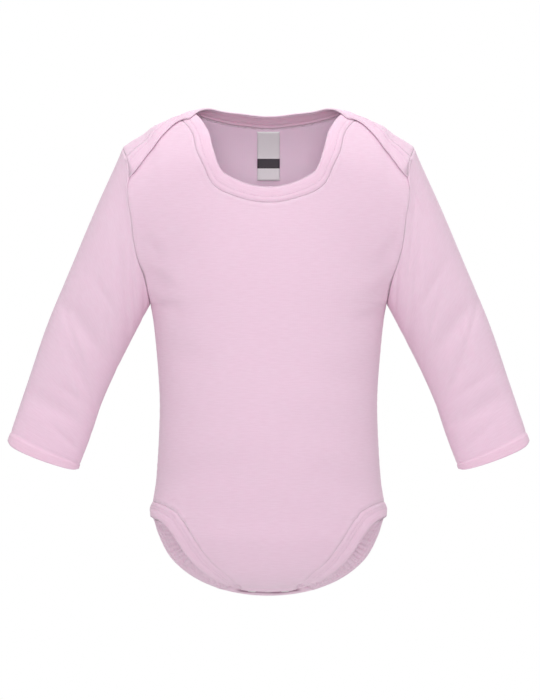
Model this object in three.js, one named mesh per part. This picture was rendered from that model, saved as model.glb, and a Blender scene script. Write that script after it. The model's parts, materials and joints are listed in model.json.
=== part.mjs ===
import * as THREE from 'three';

// A long-sleeved baby bodysuit with envelope shoulders, hollow and filled out as when worn.
// Millimetres, +Z up, the front faces -Y and +X is the wearer's left. The origin is where the wearer
// holds it up: on the mid-line between the shoulders.
// The cloth lies on one smooth form. A place on the form is [across, level]. Across runs from -1 to 1
// between the side seams. Level is 0 on the shoulder ridge, 1 where the shoulder has curved down,
// 2 at the underarm, 3 at the hip and 4 at the middle of the crotch, and it is negative at the back.

// Cloth
const CLOTH = 1.2; // one layer of jersey
const BINDING = 2.2; // a folded binding strip
const HEM = 2.4; // the turned hem of a cuff
const NECK_BINDING_WIDTH = 13.5;
const SEAM_GAP = 0.3; // between two pieces sewn edge to edge
const SEAM_SLACK = 0.3; // added to the gap at curved seams, whose facets come closer
const HALF_SEAM = (SEAM_GAP + SEAM_SLACK) / 2;
const BINDING_PROUD = 0.4; // a binding's face above its panel's
const LAP_PANEL_LIFT = 2.9; // the back shoulder lap's face above the front panel's
const LAP_BINDING_LIFT = 4; // the same at its binding
const PINK = 0xe6c3d9;
const PINK_INSIDE = 0xd6b3ca;
const WHITE = 0xf4f1f2;
const STEEL = 0xc9c9cc;

// Trunk
const SHOULDER_POINT_Z = -26.5;
const UNDERARM_Z = -156;
const UNDERARM_X = 99.2;
const HIP_Z = -335;
const HIP_WIDTH = 99.5; // half the width at the hip
const ARMHOLE_DEPTH = 33; // half the armhole's depth, front to back
const ARMHOLE_RISE = (SHOULDER_POINT_Z - UNDERARM_Z) / 2;
const NECK_RISE = 45; // height of the shoulder's curve beside the neck
const LAP_FADE = [0.65, 1.1]; // levels between which the back lap comes down to the front's layer

// Height of the shoulder ridge by its distance from the mid-line
const RIDGE = [
  { x: 0, z: 10 },
  { x: 26, z: 9 },
  { x: 52, z: 5.9 },
  { x: 71, z: 2.1 },
  { x: 86, z: -3.8 },
  { x: 96, z: -8.1 },
  { x: 104, z: -14.5 },
  { x: 114, z: -20.5 },
  { x: 122.4, z: SHOULDER_POINT_Z },
];

// Half-width of the trunk at its side seams and armhole seams
const WIDTHS = [
  { z: SHOULDER_POINT_Z, half: 122.4 },
  { z: -38, half: 118 },
  { z: -48, half: 116.8 },
  { z: -58, half: 117.8 },
  { z: -70, half: 117.4 },
  { z: -84, half: 115 },
  { z: -104, half: 112.6 },
  { z: -119, half: 109.3 },
  { z: -134, half: 104 },
  { z: UNDERARM_Z, half: UNDERARM_X },
  { z: -170, half: 96.6 },
  { z: -203, half: 93.3 },
  { z: -237, half: 91.2 },
  { z: -270, half: 92 },
  { z: -304, half: 94.3 },
  { z: -321, half: 97 },
  { z: HIP_Z, half: HIP_WIDTH },
];

// Depth of the middle of the front and of the back, from the plane of the side seams
const DEPTHS = [
  { z: 16, front: 34, back: 31 },
  { z: -10, front: 38, back: 39 },
  { z: -35, front: 43, back: 46 },
  { z: -60, front: 47.5, back: 52 },
  { z: -92, front: 53, back: 56 },
  { z: -125, front: 57, back: 57.5 },
  { z: UNDERARM_Z, front: 59.5, back: 57 },
  { z: -200, front: 62, back: 55 },
  { z: -240, front: 63.5, back: 54.5 },
  { z: -280, front: 63, back: 57.5 },
  { z: -310, front: 60.5, back: 61 },
  { z: HIP_Z, front: 57, back: 63 },
];

// The mid-line below the hip: the front runs down to its tab, the back's seat dips below it
const FRONT_BOTTOM = [
  { level: 3, y: -57, z: HIP_Z },
  { level: 3.25, y: -52.9, z: -358.5 },
  { level: 3.5, y: -40.5, z: -378.5 },
  { level: 3.75, y: -22, z: -391.5 },
  { level: 4, y: -2, z: -396 },
  { level: 4.2, y: 14, z: -396.4 },
];
const BACK_BOTTOM = [
  { level: 3, y: 63, z: HIP_Z },
  { level: 3.25, y: 61, z: -357 },
  { level: 3.5, y: 53, z: -379 },
  { level: 3.7, y: 40, z: -395.5 },
  { level: 3.85, y: 29, z: -400.8 },
  { level: 3.93, y: 21.5, z: -398 },
  { level: 4, y: 15, z: -393.8 },
  { level: 4.06, y: 9, z: -392.6 },
  { level: 4.2, y: -4.5, z: -392.4 },
];
const TAB_END = 4.2;

// Free edge of the front: neck, ear, over the ridge, then the lap under the back panel
const FRONT_NECK = [
  { x: 0, z: -58.5, side: 1 },
  { x: 16.4, z: -56.3, side: 1 },
  { x: 30.7, z: -50.4, side: 1 },
  { x: 40.7, z: -42, side: 1 },
  { x: 46, z: -27, side: 1 },
  { x: 49, z: -15, side: 1 },
  { x: 54, z: -5, side: 1 },
  { x: 65, z: 30, side: 1 },
  { x: 76, z: -6, side: -1 },
  { x: 88, z: -17, side: -1 },
  { x: 100, z: -31, side: -1 },
  { x: 109, z: -41, side: -1 },
];
// Free edge of the back: neck, over the ridge, then the lap that lies on the front panel
const BACK_NECK = [
  { x: 0, z: 1, side: -1 },
  { x: 20, z: 2.6, side: -1 },
  { x: 39, z: 4.6, side: -1 },
  { x: 52, z: 30, side: 1 },
  { x: 64.3, z: -0.8, side: 1 },
  { x: 71, z: -2.5, side: 1 },
  { x: 78, z: -6, side: 1 },
  { x: 87, z: -14.5, side: 1 },
  { x: 94.5, z: -24.4, side: 1 },
  { x: 100, z: -31.2, side: 1 },
  { x: 108, z: -42, side: 1 },
  { x: 113, z: -48.3, side: 1 },
];
const LAP_EDGE_LEVEL = 0.575; // where a lap's free edge ends on the armhole
const LAP_SEAM_LEVEL = 1 / 3; // where its binding seam ends

// Leg openings, left leg: seam and free edge of the binding down the front
const LEG_SEAM_LEVEL = 2.925; // where the seam crosses the side seam
const LEG_EDGE_LEVEL = 2.988;
const FRONT_LEG_SEAM = [
  { x: 93.7, z: -322.5 },
  { x: 84.4, z: -326 },
  { x: 74.3, z: -334.7 },
  { x: 65.9, z: -346.9 },
  { x: 55, z: -363.7 },
  { x: 44.9, z: -375.5 },
  { x: 32.3, z: -386.4 },
];
const FRONT_LEG_EDGE = [
  { x: 94.5, z: -336.5 },
  { x: 86.9, z: -342 },
  { x: 78.5, z: -352.8 },
  { x: 67.6, z: -368.8 },
  { x: 56.7, z: -379.7 },
  { x: 44.1, z: -388.2 },
  { x: 32.5, z: -392.5 },
];
// The same at the back: the seam by its place on the form, the free edge as it stands in space
const BACK_LEG_SEAM = [
  { across: 0.86, level: -3.1 },
  { across: 0.76, level: -3.45 },
  { across: 0.65, level: -3.66 },
  { across: 0.53, level: -3.76 },
  { across: 0.4, level: -3.83 },
  { across: 0.25, level: -3.9 },
];
const BACK_LEG_EDGE = [
  { x: 95.5, y: 7, z: -338 },
  { x: 88, y: 8, z: -341.2 },
  { x: 79, y: 8, z: -350.2 },
  { x: 67.6, y: 6, z: -365.7 },
  { x: 57.5, y: 4, z: -376 },
  { x: 45, y: 3, z: -384.5 },
  { x: 36, y: 3, z: -388.8 },
];
const TAB_SEAM_X = 12.6; // the leg binding's seam and free edge where they end on the tabs
const TAB_EDGE_X = 26;
const GATHERS = 18; // ripples round the back of each leg opening
const GATHER_HEIGHT = 1;

// Left sleeve: its upper and under fold in the front view, and half its depth
const SLEEVE = [
  { along: 0, topX: 122.4, topZ: SHOULDER_POINT_Z, underX: UNDERARM_X, underZ: UNDERARM_Z, depth: 33 },
  { along: 0.2, topX: 144.5, topZ: -74.9, underX: 113.4, underZ: -183.2, depth: 31 },
  { along: 0.4, topX: 165.2, topZ: -123.9, underX: 127.3, underZ: -210.7, depth: 27 },
  { along: 0.6, topX: 185.7, topZ: -173.2, underX: 139.7, underZ: -238.6, depth: 23.5 },
  { along: 0.8, topX: 202.8, topZ: -223.4, underX: 149.6, underZ: -267.8, depth: 20.5 },
  { along: 1, topX: 220, topZ: -274.5, underX: 160.6, underZ: -296.5, depth: 17.5 },
];
const CUFF_HEM_ALONG = 0.94; // where the turned hem begins
// Its largest folds: shallow troughs across the front and back, each round its own place
const SLEEVE_FOLDS = [
  { along: 0.2, turn: 1.45, length: 0.55, width: 0.035, slant: 0.1, depth: 1.6 },
  { along: 0.47, turn: 0.95, length: 0.7, width: 0.04, slant: -0.06, depth: 1.8 },
  { along: 0.62, turn: 1.3, length: 0.5, width: 0.035, slant: 0.07, depth: 1.4 },
  { along: 0.8, turn: 0.9, length: 0.6, width: 0.035, slant: -0.05, depth: 1.5 },
  { along: 0.33, turn: 2.9, length: 0.7, width: 0.04, slant: 0.06, depth: 1.7 },
  { along: 0.56, turn: 3.1, length: 0.6, width: 0.04, slant: -0.07, depth: 1.6 },
];
const CUFF_DROOP = 4.5; // the cuff's middle hangs below its two folds

// Neck label, inside the back
const LABEL_HALF_WIDTH = 9.5;
const LABEL_TOP_Z = -10.5;
const LABEL_LENGTH = 41;
const LABEL_WALL = 1;

// Press studs on the crotch tabs
const STUD_RADIUS = 4;
const STUD_HEIGHT = 1.5;
const STUD_SPACING = 14;
const STUD_LEVELS = { front: 4.0875, back: 4.11 }; // where the studs sit on the two tabs
const STUD_RIM = { radius: 0.7, height: 0.9 }; // where the dome turns over, as parts of its radius and height
const STUD_SIDES = 20;
const BACK_BINDING_SAG = 0.8; // the back binding lies this much lower than its form at the outer studs

// Cells of each wall
const COLUMNS = 13; // of half a panel
const LEG_ROWS = 12;
const SIDE_ROWS = 8;
const ARM_STEP = 1 / 6; // in levels, so that panel and sleeve share their points on the armhole
const SLEEVE_RINGS = 12;
const RIPPLE_CELLS = 4; // cells along one gather, so that GATHERS * RIPPLE_CELLS is a multiple of LEG_ROWS
const BINDING_ROWS = 2;
const NECK_CELLS = 2; // of a neck binding to each panel column
const EDGE_CELLS = 240; // of a free edge, where it is measured

const { lerp, clamp, smoothstep } = THREE.MathUtils;
const QUARTER = Math.PI / 2;

// A smooth curve through one column of a table: gives its value at any place along the key column
function through(rows, key, column) {
  const sorted = [...rows].sort((a, b) => a[key] - b[key]);
  const at = sorted.map((row) => row[key]);
  const value = sorted.map((row) => row[column]);
  const last = at.length - 1;
  const slope = at.map((_, i) => {
    const low = Math.max(i - 1, 0);
    const high = Math.min(i + 1, last);
    return (value[high] - value[low]) / (at[high] - at[low]);
  });
  return (where) => {
    const x = clamp(where, at[0], at[last]);
    let i = 0;
    while (i < last - 1 && x > at[i + 1]) i += 1;
    const span = at[i + 1] - at[i];
    const t = (x - at[i]) / span;
    const rest = 1 - t;
    return rest * rest * ((1 + 2 * t) * value[i] + t * span * slope[i])
      + t * t * ((3 - 2 * t) * value[i + 1] - rest * span * slope[i + 1]);
  };
}

const ridgeZ = through(RIDGE, 'x', 'z');
const halfWidthAt = through(WIDTHS, 'z', 'half');
const midDepth = { front: through(DEPTHS, 'z', 'front'), back: through(DEPTHS, 'z', 'back') };
const bottom = {
  front: { y: through(FRONT_BOTTOM, 'level', 'y'), z: through(FRONT_BOTTOM, 'level', 'z') },
  back: { y: through(BACK_BOTTOM, 'level', 'y'), z: through(BACK_BOTTOM, 'level', 'z') },
};

// Height of the armhole seam at a level from 0 to 2
function armholeZ(level) {
  return SHOULDER_POINT_Z - ARMHOLE_RISE * (1 - Math.cos(level * QUARTER));
}

function halfWidth(level) {
  if (level <= 2) return halfWidthAt(armholeZ(level));
  return level <= 3 ? halfWidthAt(lerp(UNDERARM_Z, HIP_Z, level - 2)) : HIP_WIDTH;
}

// Height of the form above the hip. Share is how far out it lies, as a part of the half-width.
function heightAt(share, level) {
  const out = Math.abs(share);
  const rise = lerp(NECK_RISE, ARMHOLE_RISE, out * out);
  const ridge = ridgeZ(out * halfWidth(0));
  if (level <= 1) return ridge - rise * (1 - Math.cos(level * QUARTER));
  if (level >= 2) return lerp(UNDERARM_Z, HIP_Z, level - 2);
  const down = lerp(level - 1, Math.sin((level - 1) * QUARTER), out ** 4);
  return lerp(ridge - rise, UNDERARM_Z, down);
}

// The point of the form at a place
function formPoint(across, level) {
  const depth = Math.abs(level);
  const side = level < 0 ? 'back' : 'front';
  const toward = level < 0 ? 1 : -1;
  const share = Math.sin(across * QUARTER);
  const curve = Math.max(Math.cos(across * QUARTER), 0);
  const x = share * halfWidth(depth);
  if (depth > 3) {
    const y = bottom[side].y(depth) * curve;
    return new THREE.Vector3(x, y, HIP_Z + (bottom[side].z(depth) - HIP_Z) * curve);
  }
  const z = heightAt(share, depth);
  const middle = midDepth[side](z);
  if (depth <= 1) {
    const out = ARMHOLE_DEPTH + (middle - ARMHOLE_DEPTH) * curve * curve;
    return new THREE.Vector3(x, toward * out * Math.sin(depth * QUARTER), z);
  }
  const seam = depth < 2 ? ARMHOLE_DEPTH * Math.cos((depth - 1) * QUARTER) : 0;
  const power = depth < 2
    ? lerp(2, 0.85, smoothstep(depth, 1, 2))
    : lerp(0.85, 1, smoothstep(depth, 2.4, 3));
  return new THREE.Vector3(x, toward * (seam + (middle - seam) * curve ** power), z);
}

// The form's outward direction at a place
function outward(across, level) {
  const limit = Math.abs(level) > 2.95 ? 0.97 : 0.999;
  const u = clamp(across, -limit, limit);
  const step = 0.004;
  const alongX = formPoint(u + step / 4, level).sub(formPoint(u - step / 4, level));
  const alongLevel = formPoint(u, level + step).sub(formPoint(u, level - step));
  return alongLevel.cross(alongX).normalize();
}

// The same, lifted off the form. On the armhole it stays in the seam's own plane.
function lifted(across, level, lift) {
  const point = formPoint(across, level);
  const { x } = point;
  point.addScaledVector(outward(across, level), lift);
  if (Math.abs(across) > 0.999 && Math.abs(level) < 2) point.x = x;
  return point;
}

// The place on the front (side 1) or back (side -1) that is seen at x, z from the front
function placeSeenAt({ x, z, side = 1 }) {
  let high = 0;
  let low = 4;
  for (let i = 0; i < 40; i += 1) {
    const middle = (high + low) / 2;
    const share = clamp(x / halfWidth(middle), -1, 1);
    const curve = Math.sqrt(1 - share * share);
    const bottomZ = bottom[side < 0 ? 'back' : 'front'].z(middle);
    const seen = middle > 3 ? HIP_Z + (bottomZ - HIP_Z) * curve : heightAt(share, middle);
    if (seen > z) high = middle;
    else low = middle;
  }
  return [Math.asin(clamp(x / halfWidth(low), -1, 1)) / QUARTER, side * low];
}

// A smooth curve through places of the form, cut into cells of even length
function placesAlong(places, cells) {
  const curve = new THREE.SplineCurve(places.map((place) => new THREE.Vector2(...place)));
  const fine = curve.getPoints(cells * 12);
  const points = fine.map((place) => formPoint(place.x, place.y));
  const lengths = [0];
  for (let i = 1; i < points.length; i += 1) {
    lengths.push(lengths[i - 1] + points[i].distanceTo(points[i - 1]));
  }
  return Array.from({ length: cells + 1 }, (_, k) => {
    const want = lengths[lengths.length - 1] * (k / cells);
    let i = 1;
    while (i < lengths.length - 1 && lengths[i] < want) i += 1;
    const place = fine[i - 1].clone().lerp(fine[i], (want - lengths[i - 1]) / (lengths[i] - lengths[i - 1]));
    return [place.x, place.y];
  });
}

// The place a distance from another over the form, square to a line through it
function placeBeside(place, before, after, distance) {
  const at = ([across, level]) => formPoint(across, level);
  const normal = outward(...place);
  const away = at(after).sub(at(before)).cross(normal).setLength(distance);
  const target = at(place).add(away);
  let [across, level] = place;
  const step = 0.002;
  for (let i = 0; i < 12; i += 1) {
    const here = at([across, level]);
    const du = at([across + step, level]).sub(here).divideScalar(step);
    const dv = at([across, level + step]).sub(here).divideScalar(step);
    const gap = target.clone().sub(here);
    const uu = du.dot(du);
    const uv = du.dot(dv);
    const vv = dv.dot(dv);
    const determinant = uu * vv - uv * uv;
    across += (du.dot(gap) * vv - dv.dot(gap) * uv) / determinant;
    level += (dv.dot(gap) * uu - du.dot(gap) * uv) / determinant;
  }
  return [across, level];
}

// Free edge of a neck, from the mid-line to the armhole. Side is 1 for the front panel.
function neckEdge(table, side) {
  return placesAlong([...table.map(placeSeenAt), [1, -side * LAP_EDGE_LEVEL]], EDGE_CELLS);
}

// Its binding seam, a binding's width inside the panel
function neckSeam(table, side) {
  const edge = neckEdge(table, side);
  const seam = [];
  for (let i = 0; i < EDGE_CELLS * 0.9; i += EDGE_CELLS / 10) {
    const before = edge[Math.max(i - 3, 0)];
    seam.push(placeBeside(edge[i], before, edge[i + 3], side * NECK_BINDING_WIDTH));
  }
  seam[0][0] = 0;
  return [...seam, [1, -side * LAP_SEAM_LEVEL]];
}

const FRONT_SEAM_PLACES = neckSeam(FRONT_NECK, 1);
const BACK_SEAM_PLACES = neckSeam(BACK_NECK, -1);

function tabPlace(x, side) {
  return [Math.asin(x / HIP_WIDTH) / QUARTER, side * TAB_END];
}

// Left leg: places of the binding's seam, from the side seam to the end of the tab
const LEG_SEAM_PLACES = {
  front: [[1, LEG_SEAM_LEVEL], ...FRONT_LEG_SEAM.map(placeSeenAt), tabPlace(TAB_SEAM_X, 1)],
  back: [
    [1, -LEG_SEAM_LEVEL],
    ...BACK_LEG_SEAM.map(({ across, level }) => [across, level]),
    tabPlace(TAB_SEAM_X, -1),
  ],
};

// Panels

// The lift of a panel's face above the form: the back panel's laps lie over the front's
function lapLift(level, side, lift) {
  return side > 0 ? 0 : lift * (1 - smoothstep(Math.abs(level), ...LAP_FADE));
}

// Places of half a panel, a row for each seam point from the tab up. Side is 1 for the front.
function panelPlaces(side, neck) {
  const leg = placesAlong(LEG_SEAM_PLACES[side > 0 ? 'front' : 'back'], LEG_ROWS).reverse();
  const outer = [...leg];
  for (let i = 1; i <= SIDE_ROWS; i += 1) {
    outer.push([1, side * lerp(LEG_SEAM_LEVEL, 2, i / SIDE_ROWS)]);
  }
  const firstArmRow = outer.length - 1;
  const armRows = Math.round((2 + LAP_SEAM_LEVEL) / ARM_STEP);
  for (let i = 1; i <= armRows; i += 1) {
    outer.push([1, side * (2 - i * ARM_STEP)]);
  }
  const top = placesAlong(neck, COLUMNS);
  const topLevel = neck[0][1];
  return outer.map(([outerAcross, outerLevel], i) => {
    const legShare = clamp(i / LEG_ROWS, 0, 1);
    const sideShare = clamp((i - LEG_ROWS) / SIDE_ROWS, 0, 1);
    const armShare = clamp((i - firstArmRow) / armRows, 0, 1);
    let inner = side * lerp(TAB_END, LEG_SEAM_LEVEL - 0.1, legShare);
    if (sideShare > 0) inner = side * lerp(LEG_SEAM_LEVEL - 0.1, 2, sideShare);
    if (armShare > 0) inner = lerp(2 * side, topLevel, armShare);
    const pull = armShare ** 2;
    return Array.from({ length: COLUMNS + 1 }, (_, j) => {
      const u = j / COLUMNS;
      const straight = [u * outerAcross, lerp(inner, outerLevel, u)];
      const straightTop = [u, lerp(topLevel, neck[neck.length - 1][1], u)];
      return [
        straight[0] + pull * (top[j][0] - straightTop[0]),
        straight[1] + pull * (top[j][1] - straightTop[1]),
      ];
    });
  });
}

function panelGrid(side, neck) {
  return panelPlaces(side, neck).map((half) => {
    const place = ([across, level]) => lifted(across, level, lapLift(level, side, LAP_PANEL_LIFT));
    const leftHalf = half.map(place);
    const rightHalf = leftHalf.slice(1).reverse().map((p) => new THREE.Vector3(-p.x, p.y, p.z));
    return [...rightHalf, ...leftHalf];
  });
}

// Draws a grid's side edges back from the pieces sewn to them
function openSideSeams(grid, side) {
  grid.forEach((row, i) => {
    if (i < LEG_ROWS) return;
    const onArmhole = i > LEG_ROWS + SIDE_ROWS;
    for (const end of [row[0], row[row.length - 1]]) {
      if (onArmhole) end.x -= Math.sign(end.x) * HALF_SEAM;
      else end.y -= side * HALF_SEAM;
    }
  });
  return grid;
}

// Bindings

// A strip of cloth between two rows of points of like number
function strip(edge, seam, rows) {
  return Array.from({ length: rows + 1 }, (_, i) => edge.map((p, j) => p.clone().lerp(seam[j], i / rows)));
}

// Cuts each stretch of a chain into like cells, so that a strip follows its panel's edge exactly
function cut(chain, cells) {
  const points = chain.slice(1).flatMap((p, i) => Array.from({ length: cells }, (_, k) => (
    chain[i].clone().lerp(p, k / cells))));
  return [...points, chain[chain.length - 1].clone()];
}

// Moves a strip's seam off its panel, square to the seam
function openSeam(seam, edge) {
  const moves = seam.map((p, i) => {
    const run = seam[Math.min(i + 1, seam.length - 1)].clone().sub(seam[Math.max(i - 1, 0)]).normalize();
    const away = edge[i].clone().sub(p);
    return away.addScaledVector(run, -away.dot(run)).setLength(SEAM_GAP + SEAM_SLACK);
  });
  seam.forEach((p, i) => p.add(moves[i]));
}

function mirrored(grid) {
  return grid.map((row) => row.map((p) => new THREE.Vector3(-p.x, p.y, p.z)));
}

function neckBindingGrid(table, seamPlaces, side) {
  const lift = (level) => (side > 0
    ? BINDING_PROUD * smoothstep(level, 0, 0.3)
    : lerp(BINDING_PROUD, LAP_BINDING_LIFT, 1 - smoothstep(Math.abs(level), ...LAP_FADE)));
  const face = ({ x, y }) => lifted(x, y, lift(y));
  const chain = placesAlong(seamPlaces, COLUMNS).map((place) => new THREE.Vector2(...place));
  const seam = cut(chain.map(face), NECK_CELLS);
  const edgePlaces = neckEdge(table, side).map((place) => new THREE.Vector2(...place));
  const edgePoints = edgePlaces.map(face);
  const last = seam.length - 1;
  const nearest = seam.map((p, i) => {
    if (i === 0 || i === last) return i === 0 ? 0 : edgePoints.length - 1;
    const distances = edgePoints.map((q) => q.distanceTo(p));
    return distances.indexOf(Math.min(...distances));
  });
  const edge = nearest.map((k) => edgePoints[k].clone());
  const between = cut(chain, NECK_CELLS).map((place, i) => face(place.lerp(edgePlaces[nearest[i]], 0.5)));
  openSeam(seam, edge);
  const half = [edge, between, seam];
  half.forEach((row) => {
    row[0].x = 0;
    row[last].x -= SEAM_GAP / 2 + SEAM_SLACK;
  });
  return half.map((row, i) => [...mirrored(half)[i].slice(1).reverse(), ...row]);
}

// Left leg binding, from the front tab's end round the hip to the back tab's end
function legBindingGrid() {
  const face = (place) => lifted(...place, BINDING_PROUD);
  const frontSeam = placesAlong(LEG_SEAM_PLACES.front, LEG_ROWS).map(face);
  const backSeam = placesAlong(LEG_SEAM_PLACES.back, LEG_ROWS).map(face);
  const frontEdgePlaces = [
    [1, LEG_EDGE_LEVEL], ...FRONT_LEG_EDGE.map(placeSeenAt), tabPlace(TAB_EDGE_X, 1),
  ];
  const frontEdge = placesAlong(frontEdgePlaces, LEG_ROWS).map(face);
  const backEdgePoints = [
    face([1, LEG_EDGE_LEVEL]),
    ...BACK_LEG_EDGE.map(({ x, y, z }) => new THREE.Vector3(x, y, z)),
    face([tabPlace(TAB_EDGE_X, -1)[0], -4.06]),
    face(tabPlace(TAB_EDGE_X, -1)),
  ];
  const backCells = GATHERS * RIPPLE_CELLS;
  const backEdge = new THREE.CatmullRomCurve3(backEdgePoints).getSpacedPoints(backCells);
  const backSeamFine = cut(backSeam, backCells / LEG_ROWS);
  const edge = [...frontEdge.reverse(), ...backEdge.slice(1)];
  const seam = [...frontSeam.reverse(), ...backSeamFine.slice(1)];
  openSeam(seam, edge);
  const grid = strip(edge, seam, BINDING_ROWS);
  const normals = gridNormals(grid, false, 1);
  grid.forEach((row, i) => row.forEach((p, j) => {
    const ripple = j - LEG_ROWS;
    if (ripple <= 0) return;
    const fade = smoothstep(ripple, 0, 8) * (1 - smoothstep(ripple, backCells - 14, backCells - 6));
    const height = GATHER_HEIGHT * fade * (1 - i / BINDING_ROWS);
    p.addScaledVector(normals[i][j], height * Math.sin(ripple / RIPPLE_CELLS * 2 * Math.PI));
  }));
  return grid;
}

// Sleeves

const sleeveAt = Object.fromEntries(['topX', 'topZ', 'underX', 'underZ', 'depth']
  .map((column) => [column, through(SLEEVE, 'along', column)]));

// How far the sleeve's folds draw it in at a place
function foldDepth(along, turn) {
  return SLEEVE_FOLDS.reduce((sum, fold) => {
    const round = (turn - fold.turn) / fold.length;
    const beside = (along - fold.along - fold.slant * (turn - fold.turn)) / fold.width;
    return sum + fold.depth * Math.exp(-round * round - beside * beside);
  }, 0);
}

// A point of the left sleeve. Turn is 0 at the upper fold, 1 at the front, 2 at the underarm.
function sleevePoint(along, turn) {
  const top = new THREE.Vector3(sleeveAt.topX(along), 0, sleeveAt.topZ(along));
  const under = new THREE.Vector3(sleeveAt.underX(along), 0, sleeveAt.underZ(along));
  const up = Math.cos(turn * QUARTER);
  const front = Math.sin(turn * QUARTER);
  const point = top.clone().lerp(under, (1 - up) / 2);
  point.y = -sleeveAt.depth(along) * Math.sign(front) * Math.abs(front) ** lerp(1, 0.9, along);
  const bulge = halfWidthAt(point.z) - point.x;
  point.x += along < 1e-6 ? bulge : 0;
  const down = new THREE.Vector3(under.z - top.z, 0, top.x - under.x).normalize();
  point.addScaledVector(down, -CUFF_DROOP * front * front * along ** 6);
  point.y += Math.sign(front) * foldDepth(along, turn);
  return point;
}

function sleeveGrid() {
  const around = Math.round(4 / ARM_STEP);
  const rings = Array.from({ length: SLEEVE_RINGS }, (_, i) => (
    (i / (SLEEVE_RINGS - 1)) ** 0.9 * CUFF_HEM_ALONG));
  rings.push(CUFF_HEM_ALONG + 0.006, 1);
  return rings.map((along, i) => Array.from({ length: around }, (_, j) => {
    const point = sleevePoint(along, j * ARM_STEP);
    if (i === 0) point.x += HALF_SEAM;
    return point;
  }));
}

// Walls

// Outward directions at a grid's points
function gridNormals(grid, wraps, facing) {
  const rows = grid.length;
  const columns = grid[0].length;
  const column = (j) => (wraps ? (j + columns) % columns : clamp(j, 0, columns - 1));
  return grid.map((row, i) => row.map((_, j) => {
    const down = grid[Math.min(i + 1, rows - 1)][j].clone().sub(grid[Math.max(i - 1, 0)][j]);
    const over = row[column(j + 1)].clone().sub(row[column(j - 1)]);
    return over.cross(down).normalize().multiplyScalar(facing);
  }));
}

// Each rim point of a piece, with its normal and the way into the piece
function rimOf(piece) {
  const { grid, normals, wraps } = piece;
  const rows = grid.length;
  const columns = grid[0].length;
  const rim = [];
  grid.forEach((row, i) => row.forEach((point, j) => {
    const onRows = i === 0 || i === rows - 1;
    const onColumns = !wraps && (j === 0 || j === columns - 1);
    if (!onRows && !onColumns) return;
    const into = new THREE.Vector3();
    if (onRows) into.add(grid[i === 0 ? 1 : rows - 2][j].clone().sub(point).normalize());
    if (onColumns) into.add(row[j === 0 ? 1 : columns - 2].clone().sub(point).normalize());
    rim.push({ piece, i, j, point, normal: normals[i][j], into: into.normalize() });
  }));
  return rim;
}

// Both rims of a seam lean to the same mean direction, unless the cloth folds sharply inward there
const SEAM_REACH = 8;
const SHARP_FOLD = 0.35;
const SEWN = [
  ['panel', 'panel'], ['panel', 'sleeve'], ['front_panel', 'neck_binding_front'],
  ['back_panel', 'neck_binding_back'], ['panel', 'leg_binding'], ['sleeve', 'neck_binding'],
];
function areSewn(a, b) {
  return SEWN.some(([one, other]) => (a.includes(one) && b.includes(other))
    || (a.includes(other) && b.includes(one)));
}

function leanRims(pieces) {
  const rims = pieces.flatMap(rimOf);
  for (const own of rims) {
    const near = rims
      .filter((other) => other.piece !== own.piece && areSewn(own.piece.name, other.piece.name))
      .map((other) => ({ ...other, distance: other.point.distanceTo(own.point) }))
      .filter((other) => other.distance < SEAM_REACH && other.into.dot(own.into) < 0.3)
      .sort((a, b) => a.distance - b.distance);
    if (near.length === 0) continue;
    const normal = new THREE.Vector3();
    const into = new THREE.Vector3();
    for (const other of near.filter((each) => each.piece === near[0].piece).slice(0, 2)) {
      normal.addScaledVector(other.normal, 1 / (other.distance + 0.1));
      into.addScaledVector(other.into, 1 / (other.distance + 0.1));
    }
    normal.normalize();
    const turnsIn = own.normal.dot(into.normalize()) + normal.dot(own.into);
    if (turnsIn < SHARP_FOLD) own.lean = own.normal.clone().add(normal).normalize();
  }
  for (const { piece, i, j, lean } of rims) {
    if (lean) piece.leans[i][j] = lean;
  }
}

// A closed wall: the grid is its outer face, the inner face lies a wall's thickness within
function wallGeometry({ grid, normals, leans, wraps, facing, wall }) {
  const rows = grid.length;
  const columns = grid[0].length;
  const count = rows * columns;
  const outer = grid.flat();
  const inner = grid.flatMap((row, i) => row.map((point, j) => {
    const way = leans[i][j];
    const slant = Math.max(way.dot(normals[i][j]), 0.6);
    return point.clone().addScaledVector(way, -wall(i) / slant);
  }));
  const index = (i, j) => i * columns + (wraps ? j % columns : j);
  const faces = [];
  const quad = (a, b, c, d) => faces.push(...(facing > 0 ? [a, b, c, a, c, d] : [a, c, b, a, d, c]));
  const lastColumn = wraps ? columns : columns - 1;
  for (let i = 0; i < rows - 1; i += 1) {
    for (let j = 0; j < lastColumn; j += 1) {
      const [a, b, c, d] = [index(i, j), index(i, j + 1), index(i + 1, j + 1), index(i + 1, j)];
      quad(a, b, c, d);
      quad(a + count, d + count, c + count, b + count);
    }
  }
  for (let j = 0; j < lastColumn; j += 1) {
    const [a, b] = [index(0, j), index(0, j + 1)];
    const [c, d] = [index(rows - 1, j), index(rows - 1, j + 1)];
    quad(b, a, a + count, b + count);
    quad(c, d, d + count, c + count);
  }
  for (let i = 0; i < rows - 1 && !wraps; i += 1) {
    const [a, b] = [index(i, 0), index(i + 1, 0)];
    const [c, d] = [index(i, columns - 1), index(i + 1, columns - 1)];
    quad(a, b, b + count, a + count);
    quad(d, c, c + count, d + count);
  }
  const geometry = new THREE.BufferGeometry();
  const numbers = [...outer, ...inner].flatMap((p) => p.toArray());
  geometry.setAttribute('position', new THREE.Float32BufferAttribute(numbers, 3));
  geometry.setIndex(faces);
  geometry.computeVertexNormals();
  return geometry;
}

function cloth(name, grid, { facing = 1, wall = () => CLOTH, wraps = false, color = PINK } = {}) {
  const normals = gridNormals(grid, wraps, facing);
  return { name, grid, normals, leans: normals.map((row) => [...row]), wraps, facing, wall, color };
}

function material(color, roughness, metalness) {
  return new THREE.MeshStandardMaterial({ color, roughness, metalness });
}

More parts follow.
